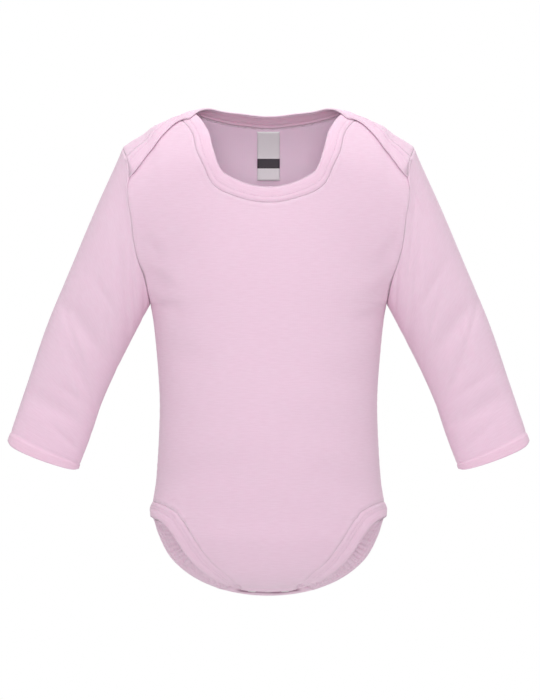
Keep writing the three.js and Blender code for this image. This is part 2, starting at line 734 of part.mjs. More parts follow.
// The label hangs from the back neck seam, inside the back panel
function labelGrid() {
  const rows = 5;
  const columns = 2;
  const inside = -CLOTH - 2 * SEAM_GAP;
  return Array.from({ length: rows + 1 }, (_, i) => Array.from({ length: columns + 1 }, (__, j) => {
    const x = lerp(-LABEL_HALF_WIDTH, LABEL_HALF_WIDTH, j / columns);
    const place = placeSeenAt({ x, z: LABEL_TOP_Z - LABEL_LENGTH * i / rows, side: -1 });
    return lifted(...place, lapLift(place[1], -1, LAP_PANEL_LIFT) + inside);
  }));
}

// A low domed cap on the outer or inner face of a tab
function stud(name, x, side) {
  const dome = [
    [0, 0], [STUD_RADIUS, 0], [STUD_RADIUS, STUD_HEIGHT / 2],
    [STUD_RADIUS * STUD_RIM.radius, STUD_HEIGHT * STUD_RIM.height], [0, STUD_HEIGHT],
  ];
  const geometry = new THREE.LatheGeometry(dome.map(([r, z]) => new THREE.Vector2(r, z)), STUD_SIDES);
  const across = Math.asin(x / HIP_WIDTH) / QUARTER;
  const level = side > 0 ? STUD_LEVELS.front : -STUD_LEVELS.back;
  const way = outward(across, level).multiplyScalar(side);
  const onBinding = Math.abs(x) + STUD_RADIUS > TAB_SEAM_X;
  const outerClearance = onBinding ? BINDING_PROUD : 0;
  const innerClearance = onBinding ? BINDING - BINDING_PROUD - BACK_BINDING_SAG : CLOTH;
  const clearance = SEAM_GAP + SEAM_SLACK + (side > 0 ? outerClearance : innerClearance);
  const mesh = new THREE.Mesh(geometry, material(STEEL, 0.35, 0.9));
  mesh.name = name;
  mesh.position.copy(formPoint(across, level).addScaledVector(way, clearance));
  mesh.quaternion.setFromUnitVectors(new THREE.Vector3(0, 1, 0), way);
  return mesh;
}

const sleeve = sleeveGrid();
const sleeveWall = (i) => (i > SLEEVE_RINGS - 1 ? HEM : CLOTH);
const bindingWall = () => BINDING;
const front = openSideSeams(panelGrid(1, FRONT_SEAM_PLACES), 1);
const back = openSideSeams(panelGrid(-1, BACK_SEAM_PLACES), -1);
const frontNeck = neckBindingGrid(FRONT_NECK, FRONT_SEAM_PLACES, 1);
const backNeck = neckBindingGrid(BACK_NECK, BACK_SEAM_PLACES, -1);
const legBinding = legBindingGrid();
const pieces = [
  cloth('front_panel', front),
  cloth('back_panel', back, { facing: -1 }),
  cloth('sleeve_left', sleeve, { wraps: true, wall: sleeveWall }),
  cloth('sleeve_right', mirrored(sleeve), { wraps: true, facing: -1, wall: sleeveWall }),
  cloth('neck_binding_front', frontNeck, { facing: -1, wall: bindingWall }),
  cloth('neck_binding_back', backNeck, { wall: bindingWall }),
  cloth('leg_binding_left', legBinding, { wall: bindingWall }),
  cloth('leg_binding_right', mirrored(legBinding), { facing: -1, wall: bindingWall }),
];
leanRims(pieces);
pieces.push(cloth('neck_label', labelGrid(), { wall: () => LABEL_WALL, color: WHITE }));

const bodysuit = new THREE.Group();
for (const piece of pieces) {
  const color = piece.name.startsWith('back') ? PINK_INSIDE : piece.color;
  const mesh = new THREE.Mesh(wallGeometry(piece), material(color, 0.9, 0));
  mesh.name = piece.name;
  bodysuit.add(mesh);
}
[-1, 0, 1].forEach((step, i) => {
  bodysuit.add(stud(`press_stud_cap_${i + 1}`, step * STUD_SPACING, 1));
  bodysuit.add(stud(`press_stud_back_${i + 1}`, step * STUD_SPACING, -1));
});

export default bodysuit;
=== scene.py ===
# A long-sleeved baby bodysuit with envelope shoulders, filled out as when worn.
# The form is worked out in millimetres, from the solids' tables, but for straighter cuffs and a
# slightly lower seat. A place on it is [across, level]: across runs from -1 to 1 between the side
# seams, and level is 0 on the shoulder ridge, 1 where the shoulder has curved down, 2 at the
# underarm, 3 at the hip and 4 at the crotch. It is negative at the back. The front faces -Y and +X
# is the wearer's left.
import json
import math

import bpy
import numpy as np
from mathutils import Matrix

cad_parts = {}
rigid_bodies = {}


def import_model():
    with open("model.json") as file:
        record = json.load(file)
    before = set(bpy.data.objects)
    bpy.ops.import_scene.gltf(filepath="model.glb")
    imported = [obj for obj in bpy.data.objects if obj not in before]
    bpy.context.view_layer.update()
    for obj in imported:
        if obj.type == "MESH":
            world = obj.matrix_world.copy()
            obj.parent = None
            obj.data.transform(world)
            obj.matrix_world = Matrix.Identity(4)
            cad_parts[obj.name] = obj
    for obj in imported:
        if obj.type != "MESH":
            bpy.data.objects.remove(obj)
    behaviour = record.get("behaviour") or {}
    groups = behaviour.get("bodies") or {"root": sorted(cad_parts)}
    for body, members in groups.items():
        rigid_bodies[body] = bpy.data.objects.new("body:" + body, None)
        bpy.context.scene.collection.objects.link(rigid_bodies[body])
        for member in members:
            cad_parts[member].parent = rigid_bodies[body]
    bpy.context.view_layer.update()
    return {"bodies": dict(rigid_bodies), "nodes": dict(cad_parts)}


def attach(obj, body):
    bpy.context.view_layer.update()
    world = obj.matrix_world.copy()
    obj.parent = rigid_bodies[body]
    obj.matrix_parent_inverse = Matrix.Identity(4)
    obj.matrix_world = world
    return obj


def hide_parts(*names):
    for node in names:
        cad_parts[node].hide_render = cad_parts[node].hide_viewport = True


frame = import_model()

MM = 0.001
BODY = next(iter(frame["bodies"]))

# Cloth, in millimetres
CLOTH = 1.0
BINDING = 2.0
HEM = 2.2
NECK_BINDING_WIDTH = 13.5
SEAM_GAP = 0.04
BINDING_PROUD = 0.5
BINDING_SINK = 0.3
LAP_PANEL_LIFT = 1.4
LAP_BINDING_LIFT = 2.5
LAP_FADE = (0.65, 1.1)

# Trunk
SHOULDER_POINT_Z = -26.5
UNDERARM_Z = -156.0
UNDERARM_X = 99.2
HIP_Z = -335.0
HIP_WIDTH = 99.5
ARMHOLE_DEPTH = 33.0
ARMHOLE_RISE = (SHOULDER_POINT_Z - UNDERARM_Z) / 2
NECK_RISE = 45.0

# Shoulder ridge: distance from the mid-line, height
RIDGE = [
    (0, 10), (26, 9), (52, 5.9), (71, 2.1), (86, -3.8), (96, -8.1), (104, -14.5), (114, -20.5),
    (122.4, SHOULDER_POINT_Z),
]
# Side seams and armhole seams: height, half-width
WIDTHS = [
    (SHOULDER_POINT_Z, 122.4), (-38, 118), (-48, 116.8), (-58, 117.8), (-70, 117.4), (-84, 115),
    (-104, 112.6), (-119, 109.3), (-134, 104), (UNDERARM_Z, UNDERARM_X), (-170, 96.6), (-203, 93.3),
    (-237, 91.2), (-270, 92), (-304, 94.3), (-321, 97), (HIP_Z, HIP_WIDTH),
]
# Middle of the trunk: height, depth of the front, depth of the back
DEPTHS = [
    (16, 34, 31), (-10, 38, 39), (-35, 43, 46), (-60, 47.5, 52), (-92, 53, 56), (-125, 57, 57.5),
    (UNDERARM_Z, 59.5, 57), (-200, 62, 55), (-240, 63.5, 54.5), (-280, 63, 57.5), (-310, 60.5, 61),
    (HIP_Z, 57, 63),
]
# Mid-line below the hip: level, y, z
FRONT_BOTTOM = [
    (3, -57, HIP_Z), (3.25, -52.9, -358.5), (3.5, -40.5, -378.5), (3.75, -22, -391.5), (4, -2, -396),
    (4.2, 14, -396.4),
]
BACK_BOTTOM = [
    (3, 63, HIP_Z), (3.25, 61, -357), (3.5, 53, -379.3), (3.7, 40, -396.7), (3.85, 29, -402.2),
    (3.93, 21.5, -399.6), (4, 15, -394), (4.06, 9, -392.6), (4.2, -4.5, -392.4),
]
TAB_END = 4.2

# Free edges of the neck as seen from the front: x, z, side (1 front, -1 back)
FRONT_NECK = [
    (0, -58.5, 1), (16.4, -56.3, 1), (30.7, -50.4, 1), (40.7, -42, 1), (46, -27, 1), (49, -15, 1),
    (54, -5, 1), (65, 30, 1), (76, -6, -1), (88, -17, -1), (100, -31, -1), (109, -41, -1),
]
BACK_NECK = [
    (0, 1, -1), (20, 2.6, -1), (39, 4.6, -1), (52, 30, 1), (64.3, -0.8, 1), (71, -2.5, 1), (78, -6, 1),
    (87, -14.5, 1), (94.5, -24.4, 1), (100, -31.2, 1), (108, -42, 1), (113, -48.3, 1),
]
LAP_EDGE_LEVEL = 0.575
LAP_SEAM_LEVEL = 1 / 3

# Leg openings, left leg: x, z of the front seam and edge; across, level of the back seam; x, y, z
# of the back edge
LEG_SEAM_LEVEL = 2.925
LEG_EDGE_LEVEL = 2.988
FRONT_LEG_SEAM = [
    (93.7, -322.5), (84.4, -326), (74.3, -334.7), (65.9, -346.9), (55, -363.7), (44.9, -375.5),
    (32.3, -386.4),
]
FRONT_LEG_EDGE = [
    (94.5, -336.5), (86.9, -342), (78.5, -352.8), (67.6, -368.8), (56.7, -379.7), (44.1, -388.2),
    (32.5, -392.5),
]
BACK_LEG_SEAM = [
    (0.86, -3.1), (0.76, -3.45), (0.65, -3.66), (0.53, -3.76), (0.4, -3.83), (0.25, -3.9),
]
BACK_LEG_EDGE = [
    (95.5, 7, -338), (88, 8, -341.2), (79, 8, -350.2), (67.6, 6, -365.7), (57.5, 4, -376),
    (45, 3, -384.5), (36, 3, -388.8),
]
TAB_SEAM_X = 12.6
TAB_EDGE_X = 26.0
GATHERS = 30
GATHER_HEIGHT = 0.42
# The crotch tab's turned edge: half-length, y, width, height, and the notches at its ends
CROTCH_FOLD = (24, -5, 4, 2.3)
CROTCH_NOTCH = 2.2
# Painted shadow on the seat, a darker tint behind that edge in place of the gap's shadow: half-length, y,
# width
PAINTED_SEAT_SHADOW = (27, 20.7, 1.7)
HIP_LOBE = 2.2

# Left sleeve: along, upper fold x and z, under fold x and z, half its depth
SLEEVE = [
    (0, 122.4, SHOULDER_POINT_Z, UNDERARM_X, UNDERARM_Z, 33), (0.2, 144.5, -74.9, 113.4, -183.2, 31),
    (0.4, 165.2, -123.9, 127.3, -210.7, 27), (0.6, 185.7, -173.2, 139.7, -238.6, 23.5),
    (0.8, 202.8, -223.4, 149.6, -267.8, 20.5), (1, 220, -274.5, 160.6, -296.5, 17.5),
]
CUFF_HEM_ALONG = 0.958
CUFF_DROOP = 2
CUFF_CORNER = 4.0
HEM_STEP = 0.5
SLEEVE_LENGTH = 285.0
# Largest folds of a sleeve, as in its solid: along, turn, length, width, slant, depth
SLEEVE_FOLDS = [
    (0.2, 1.45, 0.55, 0.035, 0.1, 1.6), (0.47, 0.95, 0.7, 0.04, -0.06, 1.8),
    (0.62, 1.3, 0.5, 0.035, 0.07, 1.4), (0.8, 0.9, 0.6, 0.035, -0.05, 1.5),
    (0.33, 2.9, 0.7, 0.04, 0.06, 1.7), (0.56, 3.1, 0.6, 0.04, -0.07, 1.6),
]

# Label
LABEL_HALF_WIDTH = 9.5
LABEL_TOP_Z = -10.5
LABEL_LENGTH = 41.0
LABEL_WALL = 0.5
# How far the label hangs off the cloth at its top, and how much more at its foot
LABEL_OFF = (0.6, 1.2)
# Middle and half-height of its dark band, down from its top
LABEL_BAND = (30.0, 4.2)

# Cells of the fine meshes
HALF_COLUMNS = 52
LEG_ROWS = 100
SIDE_ROWS = 84
ARM_STEP = 1 / 36
SLEEVE_RINGS = 132
SLEEVE_AROUND = 168
NECK_ALONG = 150
LEG_FRONT_ALONG = 72
RIPPLE_CELLS = 8
BINDING_ACROSS = 16
FOLD_CELLS = 4
EDGE_CELLS = 360


def smoothstep(x, low, high):
    t = np.clip((np.asarray(x, float) - low) / (high - low), 0, 1)
    return t * t * (3 - 2 * t)


def lerp(a, b, t):
    return a + (b - a) * t


def unit(v):
    return v / np.maximum(np.linalg.norm(v, axis=-1, keepdims=True), 1e-9)


def through(rows, column):
    """A smooth curve through one column of a table, by the table's first column."""
    ordered = sorted(rows)
    at = np.array([row[0] for row in ordered], float)
    value = np.array([row[column] for row in ordered], float)
    slope = np.empty(len(at))
    slope[1:-1] = (value[2:] - value[:-2]) / (at[2:] - at[:-2])
    slope[0] = (value[1] - value[0]) / (at[1] - at[0])
    slope[-1] = (value[-1] - value[-2]) / (at[-1] - at[-2])

    def curve(where):
        x = np.clip(where, at[0], at[-1])
        i = np.clip(np.searchsorted(at, x) - 1, 0, len(at) - 2)
        span = at[i + 1] - at[i]
        t = (x - at[i]) / span
        rest = 1 - t
        start = rest * rest * ((1 + 2 * t) * value[i] + t * span * slope[i])
        end = t * t * ((3 - 2 * t) * value[i + 1] - rest * span * slope[i + 1])
        return start + end

    return curve


ridge_z = through(RIDGE, 1)
half_width_at = through(WIDTHS, 1)
front_depth, back_depth = through(DEPTHS, 1), through(DEPTHS, 2)
front_bottom = through(FRONT_BOTTOM, 1), through(FRONT_BOTTOM, 2)
back_bottom = through(BACK_BOTTOM, 1), through(BACK_BOTTOM, 2)
QUARTER = math.pi / 2


def half_width(level):
    """Half-width of the form at a level, which is positive here."""
    on_armhole = SHOULDER_POINT_Z - ARMHOLE_RISE * (1 - np.cos(np.minimum(level, 2) * QUARTER))
    on_side = lerp(UNDERARM_Z, HIP_Z, np.clip(level - 2, 0, 1))
    return half_width_at(np.where(level <= 2, on_armhole, on_side))


def height_at(share, level):
    """Height of the form above the hip. Share is how far out it lies, as a part of the half-width."""
    out = np.abs(share)
    rise = lerp(NECK_RISE, ARMHOLE_RISE, out * out)
    ridge = ridge_z(out * half_width(np.zeros_like(out)))
    shoulder = ridge - rise * (1 - np.cos(np.clip(level, 0, 1) * QUARTER))
    between = np.clip(level - 1, 0, 1)
    down = lerp(between, np.sin(between * QUARTER), out**4)
    chest = lerp(ridge - rise, UNDERARM_Z, down)
    trunk = lerp(UNDERARM_Z, HIP_Z, np.clip(level - 2, 0, 1))
    return np.where(level <= 1, shoulder, np.where(level < 2, chest, trunk))


def form(across, level):
    """Points of the form at places."""
    across, level = np.broadcast_arrays(np.asarray(across, float), np.asarray(level, float))
    depth = np.abs(level)
    back = level < 0
    toward = np.where(back, 1.0, -1.0)
    share = np.sin(across * QUARTER)
    curve = np.maximum(np.cos(across * QUARTER), 0)
    x = share * half_width(depth)
    z = height_at(share, np.minimum(depth, 3))
    middle = np.where(back, back_depth(z), front_depth(z))
    near_neck = toward * (ARMHOLE_DEPTH + (middle - ARMHOLE_DEPTH) * curve**2) * np.sin(
        np.minimum(depth, 1) * QUARTER
    )
    seam = ARMHOLE_DEPTH * np.cos(np.clip(depth - 1, 0, 1) * QUARTER)
    power = np.where(
        depth < 2, lerp(2, 0.85, smoothstep(depth, 1, 2)), lerp(0.85, 1, smoothstep(depth, 2.4, 3))
    )
    on_trunk = toward * (seam + (middle - seam) * curve**power)
    y = np.where(depth <= 1, near_neck, on_trunk)
    low_y = np.where(back, back_bottom[0](depth), front_bottom[0](depth)) * curve
    low_z = np.where(back, back_bottom[1](depth), front_bottom[1](depth))
    low_z = HIP_Z + (low_z - HIP_Z) * curve
    low = depth > 3
    return np.stack([x, np.where(low, low_y, y), np.where(low, low_z, z)], axis=-1)


def outward(across, level):
    """The form's outward directions at places."""
    across, level = np.broadcast_arrays(np.asarray(across, float), np.asarray(level, float))
    limit = lerp(0.999, 0.97, smoothstep(np.abs(level), 2.5, 2.95))
    u = np.clip(across, -limit, limit)
    step = 0.004
    along_x = form(u + step / 4, level) - form(u - step / 4, level)
    along_level = form(u, level + step) - form(u, level - step)
    return unit(np.cross(along_level, along_x))


def lifted(across, level, lift):
    """Points lifted off the form. On the armhole they stay in the seam's own plane."""
    points = form(across, level)
    x = points[..., 0].copy()
    points = points + outward(across, level) * np.asarray(lift)[..., None]
    on_armhole = (np.abs(across) > 0.999) & (np.abs(level) < 2)
    points[..., 0] = np.where(on_armhole, x, points[..., 0])
    return points


def place_seen_at(x, z, side=1):
    """The place on the front or back that is seen at x, z from the front."""
    high, low = 0.0, 4.0
    bottom = front_bottom if side > 0 else back_bottom
    for _ in range(40):
        middle = (high + low) / 2
        share = float(np.clip(x / half_width(middle), -1, 1))
        if middle > 3:
            seen = HIP_Z + (float(bottom[1](middle)) - HIP_Z) * math.sqrt(1 - share * share)
        else:
            seen = float(height_at(share, middle))
        if seen > z:
            high = middle
        else:
            low = middle
    return math.asin(float(np.clip(x / half_width(low), -1, 1))) / QUARTER, side * low


def hermite(a, b, v0, v1, w):
    """Points between a and b, with slopes v0 and v1 there."""
    return (2 * a - 2 * b + v0 + v1) * w**3 + (-3 * a + 3 * b - 2 * v0 - v1) * w**2 + v0 * w + a


def spline(places, count):
    """A uniform Catmull-Rom curve through places."""
    p = np.array(places, float)
    t = np.linspace(0, len(p) - 1, count + 1)
    i = np.minimum(t.astype(int), len(p) - 2)
    w = (t - i)[:, None]
    before, here = p[np.maximum(i - 1, 0)], p[i]
    there, after = p[i + 1], p[np.minimum(i + 2, len(p) - 1)]
    return hermite(here, there, (there - before) / 2, (after - here) / 2, w)


def centripetal(points, count):
    """A centripetal Catmull-Rom curve through points."""
    p = np.array(points, float)
    p = np.vstack([2 * p[0] - p[1], p, 2 * p[-1] - p[-2]])
    gaps = np.maximum(np.linalg.norm(np.diff(p, axis=0), axis=1) ** 0.5, 1e-4)
    t = np.linspace(0, len(p) - 3, count + 1)
    i = np.minimum(t.astype(int), len(p) - 4)
    w = (t - i)[:, None]
    a, b, c, d = p[i], p[i + 1], p[i + 2], p[i + 3]
    d0, d1, d2 = (gaps[i + k][:, None] for k in range(3))
    v0 = ((b - a) / d0 - (c - a) / (d0 + d1) + (c - b) / d1) * d1
    v1 = ((c - b) / d1 - (d - b) / (d1 + d2) + (d - c) / d2) * d1
    return hermite(b, c, v0, v1, w)


def spaced(values, points, cells):
    """Values along a chain of points, at even distances along the points."""
    lengths = np.concatenate([[0], np.cumsum(np.linalg.norm(np.diff(points, axis=0), axis=1))])
    want = np.linspace(0, lengths[-1], cells + 1)
    return np.stack([np.interp(want, lengths, values[:, k]) for k in range(values.shape[1])], axis=1)


def places_along(places, cells):
    """Places at even distances on a curve. A curve from the mid-line starts level."""
    ahead = [(-places[1][0], places[1][1])] if places[0][0] == 0 else []
    fine = spline([*ahead, *places], 300 * (len(places) + len(ahead) - 1))
    fine = fine[300 * len(ahead):]
    return spaced(fine, form(fine[:, 0], fine[:, 1]), cells)


def place_beside(place, before, after, distance):
    """The place a distance from another over the form, square to a line through it."""
    normal = outward(*place)
    away = np.cross(form(*after) - form(*before), normal)
    target = form(*place) + unit(away) * distance
    across, level = place
    step = 0.002
    for _ in range(12):
        here = form(across, level)
        du = (form(across + step, level) - here) / step
        dv = (form(across, level + step) - here) / step
        gap = target - here
        uu, uv, vv = du @ du, du @ dv, dv @ dv
        determinant = uu * vv - uv * uv
        across += ((du @ gap) * vv - (dv @ gap) * uv) / determinant
        level += ((dv @ gap) * uu - (du @ gap) * uv) / determinant
    return across, level


def neck_edge(table, side, cells=EDGE_CELLS):
    places = [place_seen_at(x, z, row_side) for x, z, row_side in table]
    return places_along([*places, (1, -side * LAP_EDGE_LEVEL)], cells)


def neck_seam(table, side):
    edge = neck_edge(table, side, 240)
    seam = []
    for i in range(0, 216, 24):
        before = edge[max(i - 3, 0)]
        seam.append(place_beside(edge[i], before, edge[i + 3], side * NECK_BINDING_WIDTH))
    seam[0] = (0, seam[0][1])
    return [*seam, (1, -side * LAP_SEAM_LEVEL)]


FRONT_SEAM_PLACES = neck_seam(FRONT_NECK, 1)
BACK_SEAM_PLACES = neck_seam(BACK_NECK, -1)


def tab_place(x, side):
    return math.asin(x / HIP_WIDTH) / QUARTER, side * TAB_END


LEG_SEAM_PLACES = {
    1: [(1, LEG_SEAM_LEVEL), *(place_seen_at(x, z) for x, z in FRONT_LEG_SEAM), tab_place(TAB_SEAM_X, 1)],
    -1: [(1, -LEG_SEAM_LEVEL), *BACK_LEG_SEAM, tab_place(TAB_SEAM_X, -1)],
}


# Creases

# Of the panels: side, x, z, length, width, angle from level in degrees, bend, depth (a trough is
# positive, a ridge negative), in millimetres on the front view
PANEL_CREASES = [
    (1, -96, -140, 58, 7, -38, 4, 1.4),
    (1, 96, -142, 52, 7, 36, -4, 1.3),
    (1, -88, -160, 46, 6, -24, 3, 0.9),
    (1, 87, -163, 50, 6, 22, -3, 1.0),
    (1, -99, -112, 40, 6, -58, 3, 0.9),
    (1, 99, -110, 44, 6, 60, -3, 0.9),
    (1, -70, -205, 60, 11, -12, 4, 0.6),
    (1, 66, -214, 66, 12, 10, -4, 0.6),
    (1, -20, -300, 90, 16, 4, 5, 0.5),
    (1, 34, -262, 80, 14, -5, 4, 0.45),
    (1, -60, -300, 70, 10, 30, 4, 0.7),
    (1, 62, -303, 66, 10, -32, -4, 0.7),
    (-1, -80, -120, 90, 10, 40, 6, 1.6),
    (-1, 80, -122, 84, 10, -42, -6, 1.5),
    (-1, -60, -175, 90, 12, 22, 5, 1.3),
    (-1, 58, -180, 96, 12, -20, -5, 1.3),
    (-1, 0, -215, 110, 14, 3, 7, 1.4),
    (-1, -14, -248, 90, 12, -5, 5, 1.1),
    (-1, 22, -330, 70, 12, 60, 5, 0.9),
    (-1, -30, -335, 76, 12, -58, -5, 0.9),
]
# Fine creases of a sleeve, beside its largest folds: along, turn, length, width, slant, depth
SLEEVE_CREASES = [
    (0.05, 1.6, 0.35, 0.018, 0.12, 0.7), (0.1, 1.2, 0.4, 0.02, 0.1, 0.6),
    (0.28, 1.1, 0.5, 0.022, -0.09, 0.7), (0.37, 1.5, 0.45, 0.02, 0.06, 0.6),
    (0.54, 0.7, 0.4, 0.018, 0.08, 0.6), (0.7, 1.1, 0.5, 0.02, -0.07, 0.7),
    (0.75, 1.55, 0.35, 0.018, 0.09, 0.5), (0.88, 1.2, 0.4, 0.018, 0.05, 0.6),
    (0.15, 2.7, 0.5, 0.022, -0.1, 0.8), (0.42, 3.2, 0.5, 0.02, 0.08, 0.7),
    (0.68, 2.9, 0.55, 0.022, 0.07, 0.8), (0.84, 3.1, 0.45, 0.02, -0.06, 0.6),
]


def panel_creases(points, side):
    """How far the creases push a panel's points in."""
    depth = np.zeros(points.shape[:-1])
    for row_side, x, z, length, width, angle, bend, amount in PANEL_CREASES:
        if row_side != side:
            continue
        turn = math.radians(angle)
        dx, dz = points[..., 0] - x, points[..., 2] - z
        along = (dx * math.cos(turn) + dz * math.sin(turn)) / (length / 2)
        window = np.clip(1 - along**2, 0, 1) ** 2
        beside = (dz * math.cos(turn) - dx * math.sin(turn) - bend * (1 - along**2)) / width
        depth += amount * window * (np.exp(-(beside**2)) - 0.45 * np.exp(-((beside - 1.7) ** 2)))
    return depth


def sleeve_creases(along, turn, rows):
    depth = np.zeros(np.broadcast(along, turn).shape)
    for at, at_turn, length, width, slant, amount in rows:
        away = (turn - at_turn + 2) % 4 - 2
        beside = (along - at - slant * away) / width
        depth += amount * np.exp(-((away / length) ** 2) - beside**2)
    return depth


# Mesh making

def grid_normals(grid, wraps, facing):
    """Outward directions at the points of a grid of rows and columns."""
    down = np.gradient(grid, axis=0)
    if wraps:
        over = np.roll(grid, -1, axis=1) - np.roll(grid, 1, axis=1)
    else:
        over = np.gradient(grid, axis=1)
    return unit(np.cross(over, down)) * facing


def mesh_object(name, points, faces, uv=None, material=None, flat=0):
    """A mesh with smooth faces, but for a number of flat ones at the end of its list."""
    mesh = bpy.data.meshes.new(name)
    mesh.from_pydata((np.asarray(points) * MM).tolist(), [], faces)
    mesh.update()
    mesh.polygons.foreach_set("use_smooth", [i < len(faces) - flat for i in range(len(faces))])
    if uv is not None:
        layer = mesh.uv_layers.new(name="cloth")
        loops = np.empty(len(mesh.loops), dtype=np.int32)
        mesh.loops.foreach_get("vertex_index", loops)
        layer.data.foreach_set("uv", (np.asarray(uv)[loops] * MM * 10).astype(np.float32).ravel())
    obj = bpy.data.objects.new(name, mesh)
    bpy.context.scene.collection.objects.link(obj)
    if material is not None:
        mesh.materials.append(material)
    return obj


def grid_faces(rows, columns, wraps, flip):
    i, j = np.meshgrid(np.arange(rows - 1), np.arange(columns if wraps else columns - 1), indexing="ij")
    a = i * columns + j
    b = i * columns + (j + 1) % columns
    quads = np.stack([a, b, b + columns, a + columns], axis=-1).reshape(-1, 4)
    return quads[:, ::-1] if flip else quads


def shell(name, grid, wall, material, uv, wraps=False, facing=1, normals=None):
    """A closed wall: the grid is its outer face, and wall is its thickness, one or one a row."""
    rows, columns = grid.shape[:2]
    if normals is None:
        normals = grid_normals(grid, wraps, facing)
    thickness = np.broadcast_to(np.asarray(wall, float).reshape(-1, 1, 1), (rows, 1, 1))
    inner = grid - normals * thickness
    count = rows * columns
    outer_faces = grid_faces(rows, columns, wraps, facing < 0)
    inner_faces = grid_faces(rows, columns, wraps, facing > 0) + count
    rim = []
    ends = range(columns if wraps else columns - 1)
    for j in ends:
        a, b = j, (j + 1) % columns
        c, d = a + (rows - 1) * columns, b + (rows - 1) * columns
        rim.append((b, a, a + count, b + count))
        rim.append((c, d, d + count, c + count))
    if not wraps:
        for i in range(rows - 1):
            a, b = i * columns, (i + 1) * columns
            c, d = a + columns - 1, b + columns - 1
            rim.append((a, b, b + count, a + count))
            rim.append((d, c, c + count, d + count))
    rim = np.array(rim)
    if facing < 0:
        rim = rim[:, ::-1]
    faces = np.concatenate([outer_faces, inner_faces, rim]).tolist()
    points = np.concatenate([grid.reshape(-1, 3), inner.reshape(-1, 3)])
    both_uv = np.concatenate([uv.reshape(-1, 2), uv.reshape(-1, 2)])
    made = mesh_object(name, points, faces, both_uv, material, flat=len(rim))
    # Inner faces are marked for the paler pink, which is partly painted light inside the garment
    inside = made.data.attributes.new("inside", "FLOAT", "FACE")
    inside.data.foreach_set("value", np.repeat(
        [0.0, 1.0, 0.0], [len(outer_faces), len(inner_faces), len(rim)]
    ))
    return made


def mirrored(grid):
    return grid * np.array([-1.0, 1.0, 1.0])


def cloth_uv(grid):
    """Cloth coordinates in millimetres: over the columns, then down the rows."""
    over = np.linalg.norm(np.diff(grid, axis=1), axis=-1)
    over = np.concatenate([np.zeros((len(grid), 1)), np.cumsum(over, axis=1)], axis=1)
    over -= over[:, -1:] / 2
    down = np.linalg.norm(np.diff(grid, axis=0), axis=-1).mean(axis=1)
    down = np.concatenate([[0], np.cumsum(down)])
    return np.stack([over, np.broadcast_to(down[:, None], over.shape)], axis=-1)


def level_uv(grid):
    """The same with level courses, as on a panel that is worn."""
    return np.stack([cloth_uv(grid)[..., 0], -grid[..., 2]], axis=-1)


# Materials

def srgb(r, g, b):
    def linear(v):
        v /= 255
        return v / 12.92 if v <= 0.04045 else ((v + 0.055) / 1.055) ** 2.4
    return linear(r), linear(g), linear(b), 1.0


PINK = srgb(238, 206, 224)
PINK_STREAK = srgb(235, 202, 220)
# Paler pink of the inner faces: partly the knit's wrong side, partly painted light that brightens the
# garment's inside
WRONG_SIDE_AND_PAINTED_LIGHT = srgb(250, 224, 239)
# Painted shadow colour for the seat's cloth behind the front tab's edge
PAINTED_SHADOW = srgb(150, 112, 134)


def node(tree, kind, **values):
    made = tree.nodes.new(kind)
    for key, value in values.items():
        setattr(made, key, value)
    return made


def new_material(name, values):
    """A material with values set on its shader's sockets."""
    material = bpy.data.materials.new(name)
    material.use_nodes = True
    shader = material.node_tree.nodes["Principled BSDF"]
    for key, value in values.items():
        shader.inputs[key].default_value = value
    return material, material.node_tree, shader


def noise(tree, vector, scale, detail=2):
    made = node(tree, "ShaderNodeTexNoise")
    made.inputs["Scale"].default_value = scale
    made.inputs["Detail"].default_value = detail
    tree.links.new(vector, made.inputs["Vector"])
    return made.outputs["Fac"]


def ranged(tree, value, ends):
    made = node(tree, "ShaderNodeMapRange")
    for key, end in ends.items():
        made.inputs[key].default_value = end
    tree.links.new(value, made.inputs["Value"])
    return made.outputs["Result"]


def mixed(tree, a, b, factor):
    """A colour between two, of which the first may be another node's."""
    made = node(tree, "ShaderNodeMix", data_type="RGBA")
    if isinstance(a, tuple):
        made.inputs["A"].default_value = a
    else:
        tree.links.new(a, made.inputs["A"])
    made.inputs["B"].default_value = b
    tree.links.new(factor, made.inputs["Factor"])
    return made.outputs["Result"]


def bumped(tree, height, strength, distance, under=None):
    made = node(tree, "ShaderNodeBump")
    made.inputs["Strength"].default_value = strength
    made.inputs["Distance"].default_value = distance
    tree.links.new(height, made.inputs["Height"])
    if under is not None:
        tree.links.new(under, made.inputs["Normal"])
    return made.outputs["Normal"]


